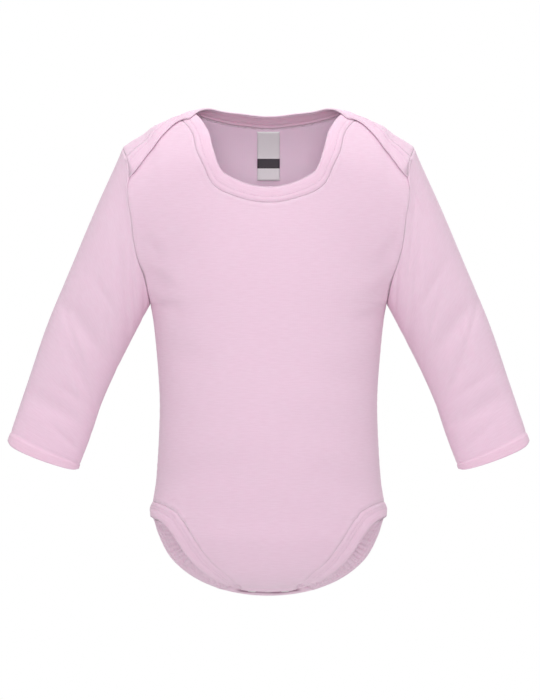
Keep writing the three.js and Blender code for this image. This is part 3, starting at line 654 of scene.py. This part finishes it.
def jersey(name, base, streak, wale=0.75, course=0.55):
    """Fine cotton jersey: knit ribs, faint level streaks and a soft nap, in cloth coordinates."""
    material, tree, shader = new_material(name, {
        "Roughness": 0.92, "Specular IOR Level": 0.2, "Subsurface Weight": 0.5,
        "Subsurface Radius": (1.0, 0.8, 0.9), "Subsurface Scale": 0.002,
        "Sheen Weight": 0.15, "Sheen Roughness": 0.5, "Sheen Tint": (1.0, 0.95, 0.98, 1.0),
    })
    cloth = node(tree, "ShaderNodeUVMap", uv_map="cloth")

    def scaled(sx, sy):
        mapping = node(tree, "ShaderNodeMapping")
        mapping.inputs["Scale"].default_value = (sx, sy, 1)
        tree.links.new(cloth.outputs["UV"], mapping.inputs["Vector"])
        return mapping.outputs["Vector"]

    def ribs(direction, spacing, distortion):
        made = node(tree, "ShaderNodeTexWave", wave_type="BANDS", bands_direction=direction)
        made.inputs["Scale"].default_value = 0.5 / (spacing * 0.01) * 0.314
        made.inputs["Distortion"].default_value = distortion
        tree.links.new(scaled(1, 1), made.inputs["Vector"])
        return made.outputs["Fac"]

    streaks = ranged(tree, noise(tree, scaled(0.8, 7), 14, 3), {"From Min": 0.35, "From Max": 0.65})
    colour = mixed(tree, base, streak, streaks)
    # Inner faces are mixed toward a paler pink: partly the knit's wrong side, partly painted light inside
    # the garment
    # The seat behind the front tab's edge is mixed toward the painted shadow colour
    for attribute, tint in (("inside", WRONG_SIDE_AND_PAINTED_LIGHT), ("painted_shadow", PAINTED_SHADOW)):
        share = node(tree, "ShaderNodeAttribute", attribute_name=attribute)
        colour = mixed(tree, colour, tint, share.outputs["Fac"])
    tree.links.new(colour, shader.inputs["Base Color"])

    stitches = node(tree, "ShaderNodeMath", operation="MULTIPLY")
    tree.links.new(ribs("X", wale, 0.6), stitches.inputs[0])
    tree.links.new(ribs("Y", course, 0.8), stitches.inputs[1])
    loops = bumped(tree, stitches.outputs[0], 0.25, 0.00012)
    uneven = bumped(tree, noise(tree, scaled(1, 7), 16), 0.3, 0.0002, loops)
    tree.links.new(uneven, shader.inputs["Normal"])
    return material


def thread_material():
    material, tree, shader = new_material("thread", {"Roughness": 0.6, "Sheen Weight": 0.3})
    fibres = noise(tree, node(tree, "ShaderNodeTexCoord").outputs["Object"], 900)
    colour = mixed(tree, srgb(238, 206, 226), srgb(224, 188, 211), fibres)
    tree.links.new(colour, shader.inputs["Base Color"])
    return material


def satin_label():
    """White woven satin with a plain dark band."""
    material, tree, shader = new_material("label", {"Roughness": 0.45})
    cloth = node(tree, "ShaderNodeUVMap", uv_map="cloth").outputs["UV"]
    weave = noise(tree, cloth, 120)
    height = node(tree, "ShaderNodeSeparateXYZ")
    tree.links.new(cloth, height.inputs["Vector"])
    band = node(tree, "ShaderNodeMath", operation="COMPARE")
    for k, value in enumerate(LABEL_BAND):
        band.inputs[k + 1].default_value = value * MM * 10
    tree.links.new(height.outputs["Y"], band.inputs[0])
    white = mixed(tree, srgb(255, 254, 255), srgb(250, 248, 251), weave)
    tree.links.new(mixed(tree, white, srgb(70, 66, 72), band.outputs[0]), shader.inputs["Base Color"])
    tree.links.new(bumped(tree, weave, 0.2, 0.0001), shader.inputs["Normal"])
    return material


def nickel():
    material, tree, shader = new_material("nickel", {"Metallic": 1.0, "Base Color": (0.72, 0.71, 0.7, 1)})
    wear = noise(tree, node(tree, "ShaderNodeTexCoord").outputs["Object"], 600, 4)
    tree.links.new(ranged(tree, wear, {"To Min": 0.22, "To Max": 0.42}), shader.inputs["Roughness"])
    return material


JERSEY = jersey("jersey", PINK, PINK_STREAK)
RIB = jersey("binding_jersey", srgb(239, 208, 226), srgb(235, 202, 221), wale=0.9)
THREAD = thread_material()
LABEL = satin_label()
NICKEL = nickel()


# Panels

def panel_places(side, neck):
    leg = places_along(LEG_SEAM_PLACES[side], LEG_ROWS)[::-1]
    sides = [(1, side * lerp(LEG_SEAM_LEVEL, 2, (i + 1) / SIDE_ROWS)) for i in range(SIDE_ROWS)]
    arm_rows = round((2 + LAP_SEAM_LEVEL) / ARM_STEP)
    arms = [(1, side * (2 - (i + 1) * ARM_STEP)) for i in range(arm_rows)]
    outer = np.array([*leg, *sides, *arms])
    top = places_along(neck, HALF_COLUMNS)
    top_level = neck[0][1]
    i = np.arange(len(outer))
    leg_share = np.clip(i / LEG_ROWS, 0, 1)
    side_share = np.clip((i - LEG_ROWS) / SIDE_ROWS, 0, 1)
    arm_share = np.clip((i - LEG_ROWS - SIDE_ROWS) / arm_rows, 0, 1)
    inner = side * lerp(TAB_END, LEG_SEAM_LEVEL - 0.1, leg_share)
    inner = np.where(side_share > 0, side * lerp(LEG_SEAM_LEVEL - 0.1, 2, side_share), inner)
    inner = np.where(arm_share > 0, lerp(2 * side, top_level, arm_share), inner)
    u = np.linspace(0, 1, HALF_COLUMNS + 1)
    straight = np.stack([u * outer[:, :1], lerp(inner[:, None], outer[:, 1:], u)], axis=-1)
    straight_top = np.stack([u, lerp(top_level, neck[-1][1], u)], axis=-1)
    pull = (arm_share**2)[:, None, None]
    return straight + pull * (top - straight_top)


def lap_lift(level, side, lift):
    return np.zeros_like(level) if side > 0 else lift * (1 - smoothstep(np.abs(level), *LAP_FADE))


def puckers(along, distance, height=0.12, reach=7.0):
    """Small uneven creases square to a seam, by the way along it and the distance from it."""
    wave = np.sin(along * 0.83 + 1.9 * np.sin(along * 0.071)) * (0.6 + 0.4 * np.sin(along * 0.137 + 1.1))
    return height * wave * np.exp(-((distance / reach) ** 2)) * smoothstep(distance, 0, 1.5)


def seam_dip(distance, reach=2.6, dip=0.18, ridge=0.14):
    """How far cloth is drawn in at a seam. The seam's turned edges raise it again beside the seam."""
    return dip * np.clip(1 - distance / reach, 0, 1) ** 2 - ridge * np.exp(-(((distance - 3) / 1.3) ** 2))


def seam_roll(grid):
    """How far a panel's border is drawn in at its seams, with puckers beside them."""
    border = np.concatenate([grid[0], grid[1:, -1], grid[-1, -2::-1], grid[-2:0:-1, 0]])
    steps = np.linalg.norm(np.diff(border, axis=0), axis=1)
    way = np.concatenate([[0], np.cumsum(steps)])
    distance = np.empty(grid.shape[:2])
    along = np.empty(grid.shape[:2])
    for i, row in enumerate(grid):
        away = np.linalg.norm(row[:, None] - border[None], axis=-1)
        distance[i] = away.min(axis=1)
        along[i] = way[away.argmin(axis=1)]
    return seam_dip(distance) + puckers(along, distance)


def crotch_fold(points):
    """How far the front tab's turned edge stands out below."""
    half_length, y, width, height = CROTCH_FOLD
    x = np.abs(points[..., 0])
    across = np.exp(-(((points[..., 1] - y) / width) ** 2))
    low = smoothstep(-points[..., 2], 383, 389)
    notch = np.exp(-(((x - half_length - 2) / 1.7) ** 2) - ((points[..., 1] - 2 * y) / width) ** 2)
    edge = height * across * (1 - smoothstep(x, half_length - 2, half_length + 1))
    return low * (edge - CROTCH_NOTCH * notch)


def painted_seat_shadow(points):
    """How much the seat's cloth is darkened by painted shadow behind the front tab's edge, in place of the
    fold's shadow.
    """
    half_length, y, width = PAINTED_SEAT_SHADOW
    x = points[..., 0]
    across = np.exp(-(((points[..., 1] - y - 0.5 * np.sin(0.23 * x)) / width) ** 2))
    low = smoothstep(-points[..., 2], 393, 397)
    return low * across * (1 - smoothstep(np.abs(x), half_length - 4, half_length + 2))


def panel_grid(side, neck):
    half = panel_places(side, neck)
    across, level = half[..., 0], half[..., 1]
    left = lifted(across, level, lap_lift(level, side, LAP_PANEL_LIFT))
    grid = np.concatenate([mirrored(left[:, :0:-1]), left], axis=1)
    out = outward(across, level)
    normals = np.concatenate([mirrored(out[:, :0:-1]), out], axis=1)
    rows = np.arange(len(grid))
    on_side = (rows >= LEG_ROWS) & (rows <= LEG_ROWS + SIDE_ROWS)
    for column in (0, -1):
        grid[on_side, column, 1] -= side * SEAM_GAP / 2
        armhole = rows > LEG_ROWS + SIDE_ROWS
        grid[armhole, column, 0] -= np.sign(grid[armhole, column, 0]) * SEAM_GAP / 2
    push = panel_creases(grid, side) + seam_roll(grid)
    if side > 0:
        push = push - crotch_fold(grid)
    made = grid - normals * push[..., None]
    for column in (0, -1):
        made[rows > LEG_ROWS, column, 0] = grid[rows > LEG_ROWS, column, 0]
    return made, normals


# Bindings

def binding_profile(stitched_at, puff, groove):
    """How far a binding's rows stand out: puffed at its free edge, drawn in at stitches and seam."""
    t = np.linspace(0, 1, BINDING_ACROSS + 1)
    stitched = sum(np.exp(-(((t - line) / 0.055) ** 2)) for line in stitched_at)
    crown = np.exp(-(((t - 0.28) / 0.22) ** 2))
    return puff * crown - groove * stitched - (BINDING_PROUD + BINDING_SINK) * smoothstep(t, 0.8, 1)


def folded_strip(name, rows, wall, material, facing, profile, ripple=None):
    """A folded binding: rows of points from its free edge to its seam, and round the fold."""
    outer = np.stack(rows)
    if ripple is not None:
        outer = outer + ripple
    outer = outer + grid_normals(outer, False, facing) * profile[:, None, None]
    normals = grid_normals(outer, False, facing)
    reach = np.pad(normals, ((0, 0), (4, 4), (0, 0)), mode="edge")
    normals = unit(sum(reach[:, k:k + normals.shape[1]] for k in range(9)))
    into = unit(outer[1] - outer[0])
    edge_normal = normals[0]
    middle = outer[0] - edge_normal * wall / 2 + into * wall / 2
    turns = np.linspace(math.pi, 0, FOLD_CELLS + 2)[1:-1]
    fold = [middle - into * wall / 2 * math.sin(t) - edge_normal * wall / 2 * math.cos(t) for t in turns]
    inner = outer - normals * wall
    first_outer = outer[0] + into * wall / 2
    first_inner = inner[0] + into * wall / 2
    loop = [*inner[:1:-1], first_inner, *fold, first_outer, *outer[2:]]
    grid = np.stack(loop)
    count, columns = grid.shape[:2]
    faces = grid_faces(count, columns, False, facing < 0)
    closing = np.stack([
        np.arange(columns - 1) + (count - 1) * columns, np.arange(1, columns) + (count - 1) * columns,
        np.arange(1, columns), np.arange(columns - 1),
    ], axis=-1)
    ends = [
        list(range(0, count * columns, columns)), list(range(columns - 1, count * columns, columns))[::-1],
    ]
    if facing < 0:
        closing = closing[:, ::-1]
        ends = [end[::-1] for end in ends]
    uv = cloth_uv(grid)
    all_faces = faces.tolist() + closing.tolist() + ends
    flat = len(closing) + len(ends)
    obj = mesh_object(name, grid.reshape(-1, 3), all_faces, uv.reshape(-1, 2), material, flat)
    return obj, outer, normals


def neck_binding_rows(table, seam_places, side):
    def lift(level):
        if side > 0:
            return BINDING_PROUD * smoothstep(level, 0, 0.3)
        return lerp(BINDING_PROUD, LAP_BINDING_LIFT, 1 - smoothstep(np.abs(level), *LAP_FADE))

    def face(places):
        return lifted(places[..., 0], places[..., 1], lift(places[..., 1]))

    seam_chain = places_along(seam_places, NECK_ALONG)
    edge_chain = neck_edge(table, side)
    edge_points, seam_points = face(edge_chain), face(seam_chain)
    distance = np.linalg.norm(seam_points[:, None] - edge_points[None], axis=-1)
    nearest = np.argmin(distance, axis=1).astype(float)
    nearest[0], nearest[-1] = 0, len(edge_chain) - 1
    nearest = np.maximum.accumulate(nearest)
    smooth = np.convolve(np.pad(nearest, 6, mode="edge"), np.ones(13) / 13, mode="valid")
    smooth[0], smooth[-1] = nearest[0], nearest[-1]
    steps = np.arange(len(edge_chain))
    edge_places = np.stack([np.interp(smooth, steps, edge_chain[:, k]) for k in range(2)], axis=1)
    rows = []
    for t in np.linspace(0, 1, BINDING_ACROSS + 1):
        row = face(lerp(edge_places, seam_chain, t))
        row[0, 0] = 0
        row[-1, 0] -= SEAM_GAP
        rows.append(np.concatenate([mirrored(row[:0:-1]), row]))
    away = unit(rows[0] - rows[-1])
    rows[-1] = rows[-1] + away * SEAM_GAP
    return rows


def leg_binding_rows():
    def face(places):
        places = np.asarray(places, float)
        return lifted(places[..., 0], places[..., 1], BINDING_PROUD)

    front_seam = places_along(LEG_SEAM_PLACES[1], LEG_FRONT_ALONG)[::-1]
    back_cells = GATHERS * RIPPLE_CELLS
    back_seam = places_along(LEG_SEAM_PLACES[-1], back_cells)
    front_edge = [
        (1, LEG_EDGE_LEVEL), *(place_seen_at(x, z) for x, z in FRONT_LEG_EDGE), tab_place(TAB_EDGE_X, 1),
    ]
    front_edge = places_along(front_edge, LEG_FRONT_ALONG)[::-1]
    back_edge_points = [
        face((1, LEG_EDGE_LEVEL)), *(np.array(row, float) for row in BACK_LEG_EDGE),
        face((tab_place(TAB_EDGE_X, -1)[0], -4.06)), face(tab_place(TAB_EDGE_X, -1)),
    ]
    fine = centripetal(back_edge_points, back_cells * 8)
    back_edge = spaced(fine, fine, back_cells)
    seam = np.concatenate([face(front_seam), face(back_seam)[1:]])
    edge = np.concatenate([face(front_edge), back_edge[1:]])
    away = edge - seam
    run = unit(np.gradient(seam, axis=0))
    away = unit(away - run * np.sum(away * run, axis=-1, keepdims=True))
    seam = seam + away * SEAM_GAP
    across = np.linspace(0, 1, BINDING_ACROSS + 1)
    rows = [lerp(edge, seam, t) for t in across]
    # at the hip the free edge turns in, so that the binding ends in a round lobe
    steps = np.linalg.norm(np.diff(edge, axis=0), axis=1)
    from_hip = np.concatenate([[0], np.cumsum(steps)])
    from_hip -= from_hip[LEG_FRONT_ALONG]
    for row, t in zip(rows, across):
        turned = HIP_LOBE * (0.45 * math.sin(math.pi * t) ** 2 - (1 - t) ** 4)
        row[:, 0] += turned * np.exp(-((from_hip / 4.5) ** 2))
    grid = np.stack(rows)
    normals = grid_normals(grid, False, 1)
    ripple = np.arange(len(seam)) - LEG_FRONT_ALONG
    fade = smoothstep(ripple, 16, 60) * (1 - smoothstep(ripple, back_cells - 48, back_cells - 24))
    wave = np.sin(ripple / RIPPLE_CELLS * 2 * math.pi + 0.9 * np.sin(ripple * 0.13))
    fall = np.sin(math.pi * lerp(0.12, 1, across))
    height = GATHER_HEIGHT * fade * wave * (0.7 + 0.3 * np.sin(ripple * 0.071 + 1))
    tab = crotch_fold(grid) * (ripple < 0)
    return rows, normals * (fall[:, None] * height + tab)[..., None]


# Stitches

def stitch_line(name, points, normals, length=2.3, gap=0.7, radius=0.22):
    """A row of thread stitches along a chain of points, joined in one mesh."""
    lengths = np.concatenate([[0], np.cumsum(np.linalg.norm(np.diff(points, axis=0), axis=1))])
    starts = np.arange(gap, lengths[-1] - length, length + gap)
    shape = [(0, 0.0), (0.25, 1.0), (0.75, 1.0), (1, 0.0)]
    sides = 5
    vertices, faces = [], []

    def at(values, where):
        return np.array([np.interp(where, lengths, values[:, k]) for k in range(3)])

    for start in starts:
        base = len(vertices)
        for share, swell in shape:
            centre = at(points, start + share * length)
            normal = unit(at(normals, start + share * length))
            ahead = unit(at(points, start + share * length + 0.4) - at(points, start + share * length - 0.4))
            beside = np.cross(normal, ahead)
            centre = centre + normal * (swell * radius * 0.9 - radius * 0.6)
            for k in range(sides):
                turn = 2 * math.pi * k / sides
                vertices.append(centre + radius * (math.cos(turn) * beside + math.sin(turn) * normal))
        for ring in range(len(shape) - 1):
            for k in range(sides):
                a = base + ring * sides + k
                b = base + ring * sides + (k + 1) % sides
                faces.append((a, b, b + sides, a + sides))
        faces.append(tuple(base + k for k in range(sides))[::-1])
        faces.append(tuple(base + (len(shape) - 1) * sides + k for k in range(sides)))
    return mesh_object(name, np.array(vertices), faces, None, THREAD)


def seam_allowance(name, points, normals, material, width=4.2, thickness=1.0, depth=1.25, closed=False):
    """The overlocked edges of a seam: a flat ridge along its inside."""
    around = 10
    if closed:
        ahead = unit(np.roll(points, -1, axis=0) - np.roll(points, 1, axis=0))
    else:
        ahead = unit(np.gradient(points, axis=0))
    normals = unit(normals - ahead * np.sum(normals * ahead, axis=-1, keepdims=True))
    beside = np.cross(normals, ahead)
    turns = 2 * math.pi * np.arange(around) / around
    middle = points - normals * depth
    grid = np.stack([
        middle + beside * (math.cos(a) * width / 2) + normals * (math.sin(a) * thickness / 2) for a in turns
    ])
    count = len(points)
    grid = grid.transpose(1, 0, 2)
    if closed:
        grid = np.concatenate([grid, grid[:1]])
    faces = grid_faces(len(grid), around, True, False).tolist()
    if closed:
        vertex_count = count * around
        faces = [[v % vertex_count for v in face] for face in faces]
        grid = grid[:-1]
    else:
        faces += [list(range(around)), [(count - 1) * around + k for k in range(around)][::-1]]
    uv = cloth_uv(grid)
    obj = mesh_object(name, grid.reshape(-1, 3), faces, uv.reshape(-1, 2), material)
    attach(obj, BODY)
    return obj


# Sleeves

sleeve_column = [None, *(through(SLEEVE, column) for column in range(1, 6))]


def sleeve_points(along, turn):
    """Points of the left sleeve. Turn is 0 at the upper fold, 1 at the front, 2 at the underarm."""
    along, turn = np.broadcast_arrays(along, turn)
    zero = np.zeros_like(along)
    top = np.stack([sleeve_column[1](along), zero, sleeve_column[2](along)], axis=-1)
    under = np.stack([sleeve_column[3](along), zero, sleeve_column[4](along)], axis=-1)
    up, front = np.cos(turn * QUARTER), np.sin(turn * QUARTER)
    points = lerp(top, under, ((1 - up) / 2)[..., None])
    points[..., 1] = -sleeve_column[5](along) * np.sign(front) * np.abs(front) ** lerp(1, 0.9, along)
    bulge = half_width_at(points[..., 2]) - points[..., 0]
    points[..., 0] += np.where(along < 1e-6, bulge, 0)
    down = unit(np.stack([under[..., 2] - top[..., 2], zero, top[..., 0] - under[..., 0]], axis=-1))
    points = points + down * (-CUFF_DROOP * front**2 * along**6)[..., None]
    points[..., 1] += np.sign(front) * sleeve_creases(along, turn, SLEEVE_FOLDS)
    return points


def level_from_top(turn):
    return (turn + 2) % 4 - 2


def sleeve_grid(mirror_creases):
    bulk = np.linspace(0, 1, SLEEVE_RINGS) ** 0.95 * CUFF_HEM_ALONG
    hem = np.linspace(CUFF_HEM_ALONG, 1, 10)[1:]
    along = np.concatenate([bulk, hem])
    turn = np.arange(SLEEVE_AROUND) * 4 / SLEEVE_AROUND
    grid = sleeve_points(along[:, None], turn[None, :])
    # the cap rises over the shoulder laps, which are caught in the same seam
    level = level_from_top(turn)
    over_front = 1 - smoothstep(level, LAP_EDGE_LEVEL, LAP_EDGE_LEVEL + 0.12)
    rise = LAP_PANEL_LIFT * np.where(level < 0, 1 - smoothstep(-level, *LAP_FADE), over_front)
    over_binding = smoothstep(level, LAP_SEAM_LEVEL - 0.08, LAP_SEAM_LEVEL + 0.06)
    rise += (LAP_BINDING_LIFT - LAP_PANEL_LIFT - 0.1) * over_binding * over_front * (level > 0)
    up = outward(np.ones_like(level), level) * np.array([0, 1, 1])
    grid += (np.clip(1 - along / 0.09, 0, 1) ** 2)[:, None, None] * rise[None, :, None] * up[None]
    # the armhole's bulge fades into the sleeve, so that the seam's curve isn't a step
    seam = grid[0, :, 0].copy()
    plain = sleeve_points(np.array([[1e-5]]), turn[None, :])[0, :, 0]
    fade = np.clip(1 - along / 0.08, 0, 1) ** 2
    fade[0] = 0
    grid[..., 0] += fade[:, None] * (seam - plain)[None, :]
    grid[0, :, 0] += SEAM_GAP / 2
    # the cuff's corners are round at its two folds
    away = unit(grid[-1] - grid[-9])
    corner = np.exp(-((level_from_top(turn) / 0.28) ** 2)) + 0.6 * np.exp(-(((turn - 2) / 0.26) ** 2))
    rounding = CUFF_CORNER * smoothstep(along, 0.965, 1) ** 1.5
    grid -= rounding[:, None, None] * corner[None, :, None] * away[None]
    normals = grid_normals(grid, True, 1)
    sign = -1 if mirror_creases else 1
    push = sleeve_creases(along[:, None], (turn + 0.12 * sign)[None, :], SLEEVE_CREASES)
    distance = along[:, None] * SLEEVE_LENGTH
    push = push + seam_dip(distance, ridge=0.1)
    push = push + puckers(level[None, :] * ARMHOLE_RISE, distance)
    # the hem's turned edge shows as a shallow step
    in_hem = smoothstep(along, CUFF_HEM_ALONG - 0.002, CUFF_HEM_ALONG + 0.004)
    push = push - HEM_STEP * in_hem[:, None]
    push = push + HEM_STEP * np.exp(-(((along - CUFF_HEM_ALONG) / 0.005) ** 2))[:, None]
    made = grid - normals * push[..., None]
    made[0, :, 0] = grid[0, :, 0]
    return made, lerp(CLOTH, HEM, in_hem)


def declare(obj, solid):
    """Attaches a piece of cloth to the body and hides the solid that it stands for."""
    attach(obj, BODY)
    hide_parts(solid)


def thread(obj):
    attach(obj, BODY)


front, front_out = panel_grid(1, FRONT_SEAM_PLACES)
back, back_out = panel_grid(-1, BACK_SEAM_PLACES)
front_panel = shell("front_panel_cloth", front, CLOTH, JERSEY, level_uv(front), normals=front_out)
back_panel = shell("back_panel_cloth", back, CLOTH, JERSEY, level_uv(back), facing=-1, normals=back_out)
# Painted shadow: the seat's cloth behind the front tab's edge is tinted darker, kept in a mesh attribute
painted_shadow = back_panel.data.attributes.new("painted_shadow", "FLOAT", "POINT")
painted_shadow.data.foreach_set("value", np.tile(painted_seat_shadow(back).ravel(), 2))
declare(front_panel, "front_panel")
declare(back_panel, "back_panel")

for name, mirror in (("left", False), ("right", True)):
    sleeve, sleeve_wall = sleeve_grid(mirror)
    uv = cloth_uv(sleeve)
    made = shell(
        f"sleeve_{name}_cloth", mirrored(sleeve) if mirror else sleeve, sleeve_wall, JERSEY, uv,
        wraps=True, facing=-1 if mirror else 1,
    )
    declare(made, f"sleeve_{name}")

front_rows = neck_binding_rows(FRONT_NECK, FRONT_SEAM_PLACES, 1)
back_rows = neck_binding_rows(BACK_NECK, BACK_SEAM_PLACES, -1)
leg_rows, leg_ripple = leg_binding_rows()
# Rows that are stitched, how far the free edge is puffed and how deep a stitched line lies
NECK_FINISH, LEG_FINISH = ((10,), 0.15, 0.15), ((9, 12), 0.45, 0.25)
bindings = [
    ("neck_binding_front", front_rows, None, -1, NECK_FINISH),
    ("neck_binding_back", back_rows, None, 1, NECK_FINISH),
    ("leg_binding_left", leg_rows, leg_ripple, 1, LEG_FINISH),
    ("leg_binding_right", [mirrored(row) for row in leg_rows], mirrored(leg_ripple), -1, LEG_FINISH),
]
seam_chains = []
for name, rows, ripple, facing, (lines, puff, groove) in bindings:
    profile = binding_profile([line / BINDING_ACROSS for line in lines], puff, groove)
    strip, outer, normals = folded_strip(f"{name}_cloth", rows, BINDING, RIB, facing, profile, ripple)
    declare(strip, name)
    seam_chains.append((name, outer[-1], normals[-1]))
    for k, line in enumerate(lines):
        thread(stitch_line(f"{name}_stitches_{k + 1}", outer[line], normals[line]))

# Seam allowances inside: armholes, sides, neck and legs
armhole_levels = np.linspace(2, -2, 161)[:-1]
armhole = form(np.ones_like(armhole_levels), armhole_levels)
armhole_out = unit((armhole - armhole.mean(axis=0)) * np.array([0, 1, 1]))
armhole_lift = lap_lift(armhole_levels, -1, LAP_PANEL_LIFT) * (armhole_levels < LAP_EDGE_LEVEL)
side_levels = np.linspace(2.01, LEG_SEAM_LEVEL, 60)
side = form(np.ones_like(side_levels), side_levels)
side_out = np.broadcast_to([1.0, 0, 0], side.shape)
for name, sign in (("left", 1), ("right", -1)):
    flip = np.array([sign, 1.0, 1.0])
    armhole_seam = (armhole + armhole_out * armhole_lift[:, None] * 0.5) * flip
    seam_allowance(
        f"armhole_seam_{name}", armhole_seam, armhole_out * flip, JERSEY,
        width=1.1, thickness=3.6, depth=2.3, closed=True,
    )
    seam_allowance(f"side_seam_{name}", side * flip, side_out * flip, JERSEY, depth=0.95)
for name, outer, normals in seam_chains:
    seam_allowance(f"{name}_seam", outer[4:-4], normals[4:-4], JERSEY, depth=0.7)

# Label
drop = np.linspace(0, 1, 27)
label_across = LABEL_HALF_WIDTH * np.linspace(-1, 1, 13)
label_grid = np.array([
    [form(*place_seen_at(x, LABEL_TOP_Z - LABEL_LENGTH * t, -1)) for x in label_across] for t in drop
])
label_grid[..., 1] -= (CLOTH + LABEL_OFF[0] + LABEL_OFF[1] * drop**2)[:, None]
label = shell("neck_label_satin", label_grid, LABEL_WALL, LABEL, cloth_uv(label_grid), facing=1)
declare(label, "neck_label")

# Press studs keep their solids
for name, obj in frame["nodes"].items():
    if name.startswith("press_stud"):
        obj.data.materials.clear()
        obj.data.materials.append(NICKEL)

# Camera: level, straight on, with a long lens
PHOTO_SIZE = (540, 700)
MM_PER_PIXEL = 0.84
MID_LINE_PIXEL = 268.5
ORIGIN_PIXEL = 118.0
CAMERA_DISTANCE = 6.0
SENSOR = 36.0
camera_data = bpy.data.cameras.new("camera")
camera = bpy.data.objects.new("camera", camera_data)
bpy.context.scene.collection.objects.link(camera)
bpy.context.scene.camera = camera
camera_data.sensor_width = SENSOR
camera_data.lens = SENSOR * CAMERA_DISTANCE / (PHOTO_SIZE[1] * MM_PER_PIXEL * MM)
camera_data.clip_end = 50
camera.location = (
    (PHOTO_SIZE[0] / 2 - MID_LINE_PIXEL) * MM_PER_PIXEL * MM,
    -CAMERA_DISTANCE,
    (ORIGIN_PIXEL - PHOTO_SIZE[1] / 2) * MM_PER_PIXEL * MM,
)
camera.rotation_euler = (math.pi / 2, 0, 0)

# Studio: a white world, a pale floor below the view, and soft lights in front, above and behind
LIT_STRENGTH, SEEN_STRENGTH = 0.45, 1.0
scene = bpy.context.scene
scene.view_settings.view_transform = "Standard"
world = bpy.data.worlds.new("studio")
scene.world = world
world.use_nodes = True
tree = world.node_tree
tree.nodes.clear()
path = node(tree, "ShaderNodeLightPath")
pick = node(tree, "ShaderNodeMixShader")
output = node(tree, "ShaderNodeOutputWorld")
for k, strength in enumerate((LIT_STRENGTH, SEEN_STRENGTH)):
    background = node(tree, "ShaderNodeBackground")
    background.inputs["Color"].default_value = (1, 1, 1, 1)
    background.inputs["Strength"].default_value = strength
    tree.links.new(background.outputs["Background"], pick.inputs[k + 1])
tree.links.new(path.outputs["Is Camera Ray"], pick.inputs["Fac"])
tree.links.new(pick.outputs["Shader"], output.inputs["Surface"])

floor_material = new_material("floor", {"Base Color": (0.7, 0.7, 0.7, 1)})[0]
FLOOR_Z, FLOOR_HALF = -640.0, 1250.0
floor = mesh_object(
    "floor",
    [(x * FLOOR_HALF, y * FLOOR_HALF, FLOOR_Z) for x, y in ((-1, -1), (1, -1), (1, 1), (-1, 1))],
    [(0, 1, 2, 3)], None, floor_material,
)

# Lights: name, place in metres, size in metres, power in watts
LIGHTS = [
    ("front", (0, -4.5, 0.5), 2.0, 77),
    ("top", (0, -0.6, 2.2), 1.5, 34),
    ("back", (0.2, 3.0, 1.2), 2.4, 62),
]
TARGET = (0, 0, -0.2)
for name, place, size, power in LIGHTS:
    data = bpy.data.lights.new(name, "AREA")
    data.size = size
    data.energy = power
    light = bpy.data.objects.new(name, data)
    scene.collection.objects.link(light)
    light.location = place
    aim = np.array(TARGET) - np.array(place)
    light.rotation_euler = (
        math.acos(-aim[2] / np.linalg.norm(aim)), 0, math.atan2(aim[1], aim[0]) - math.pi / 2,
    )
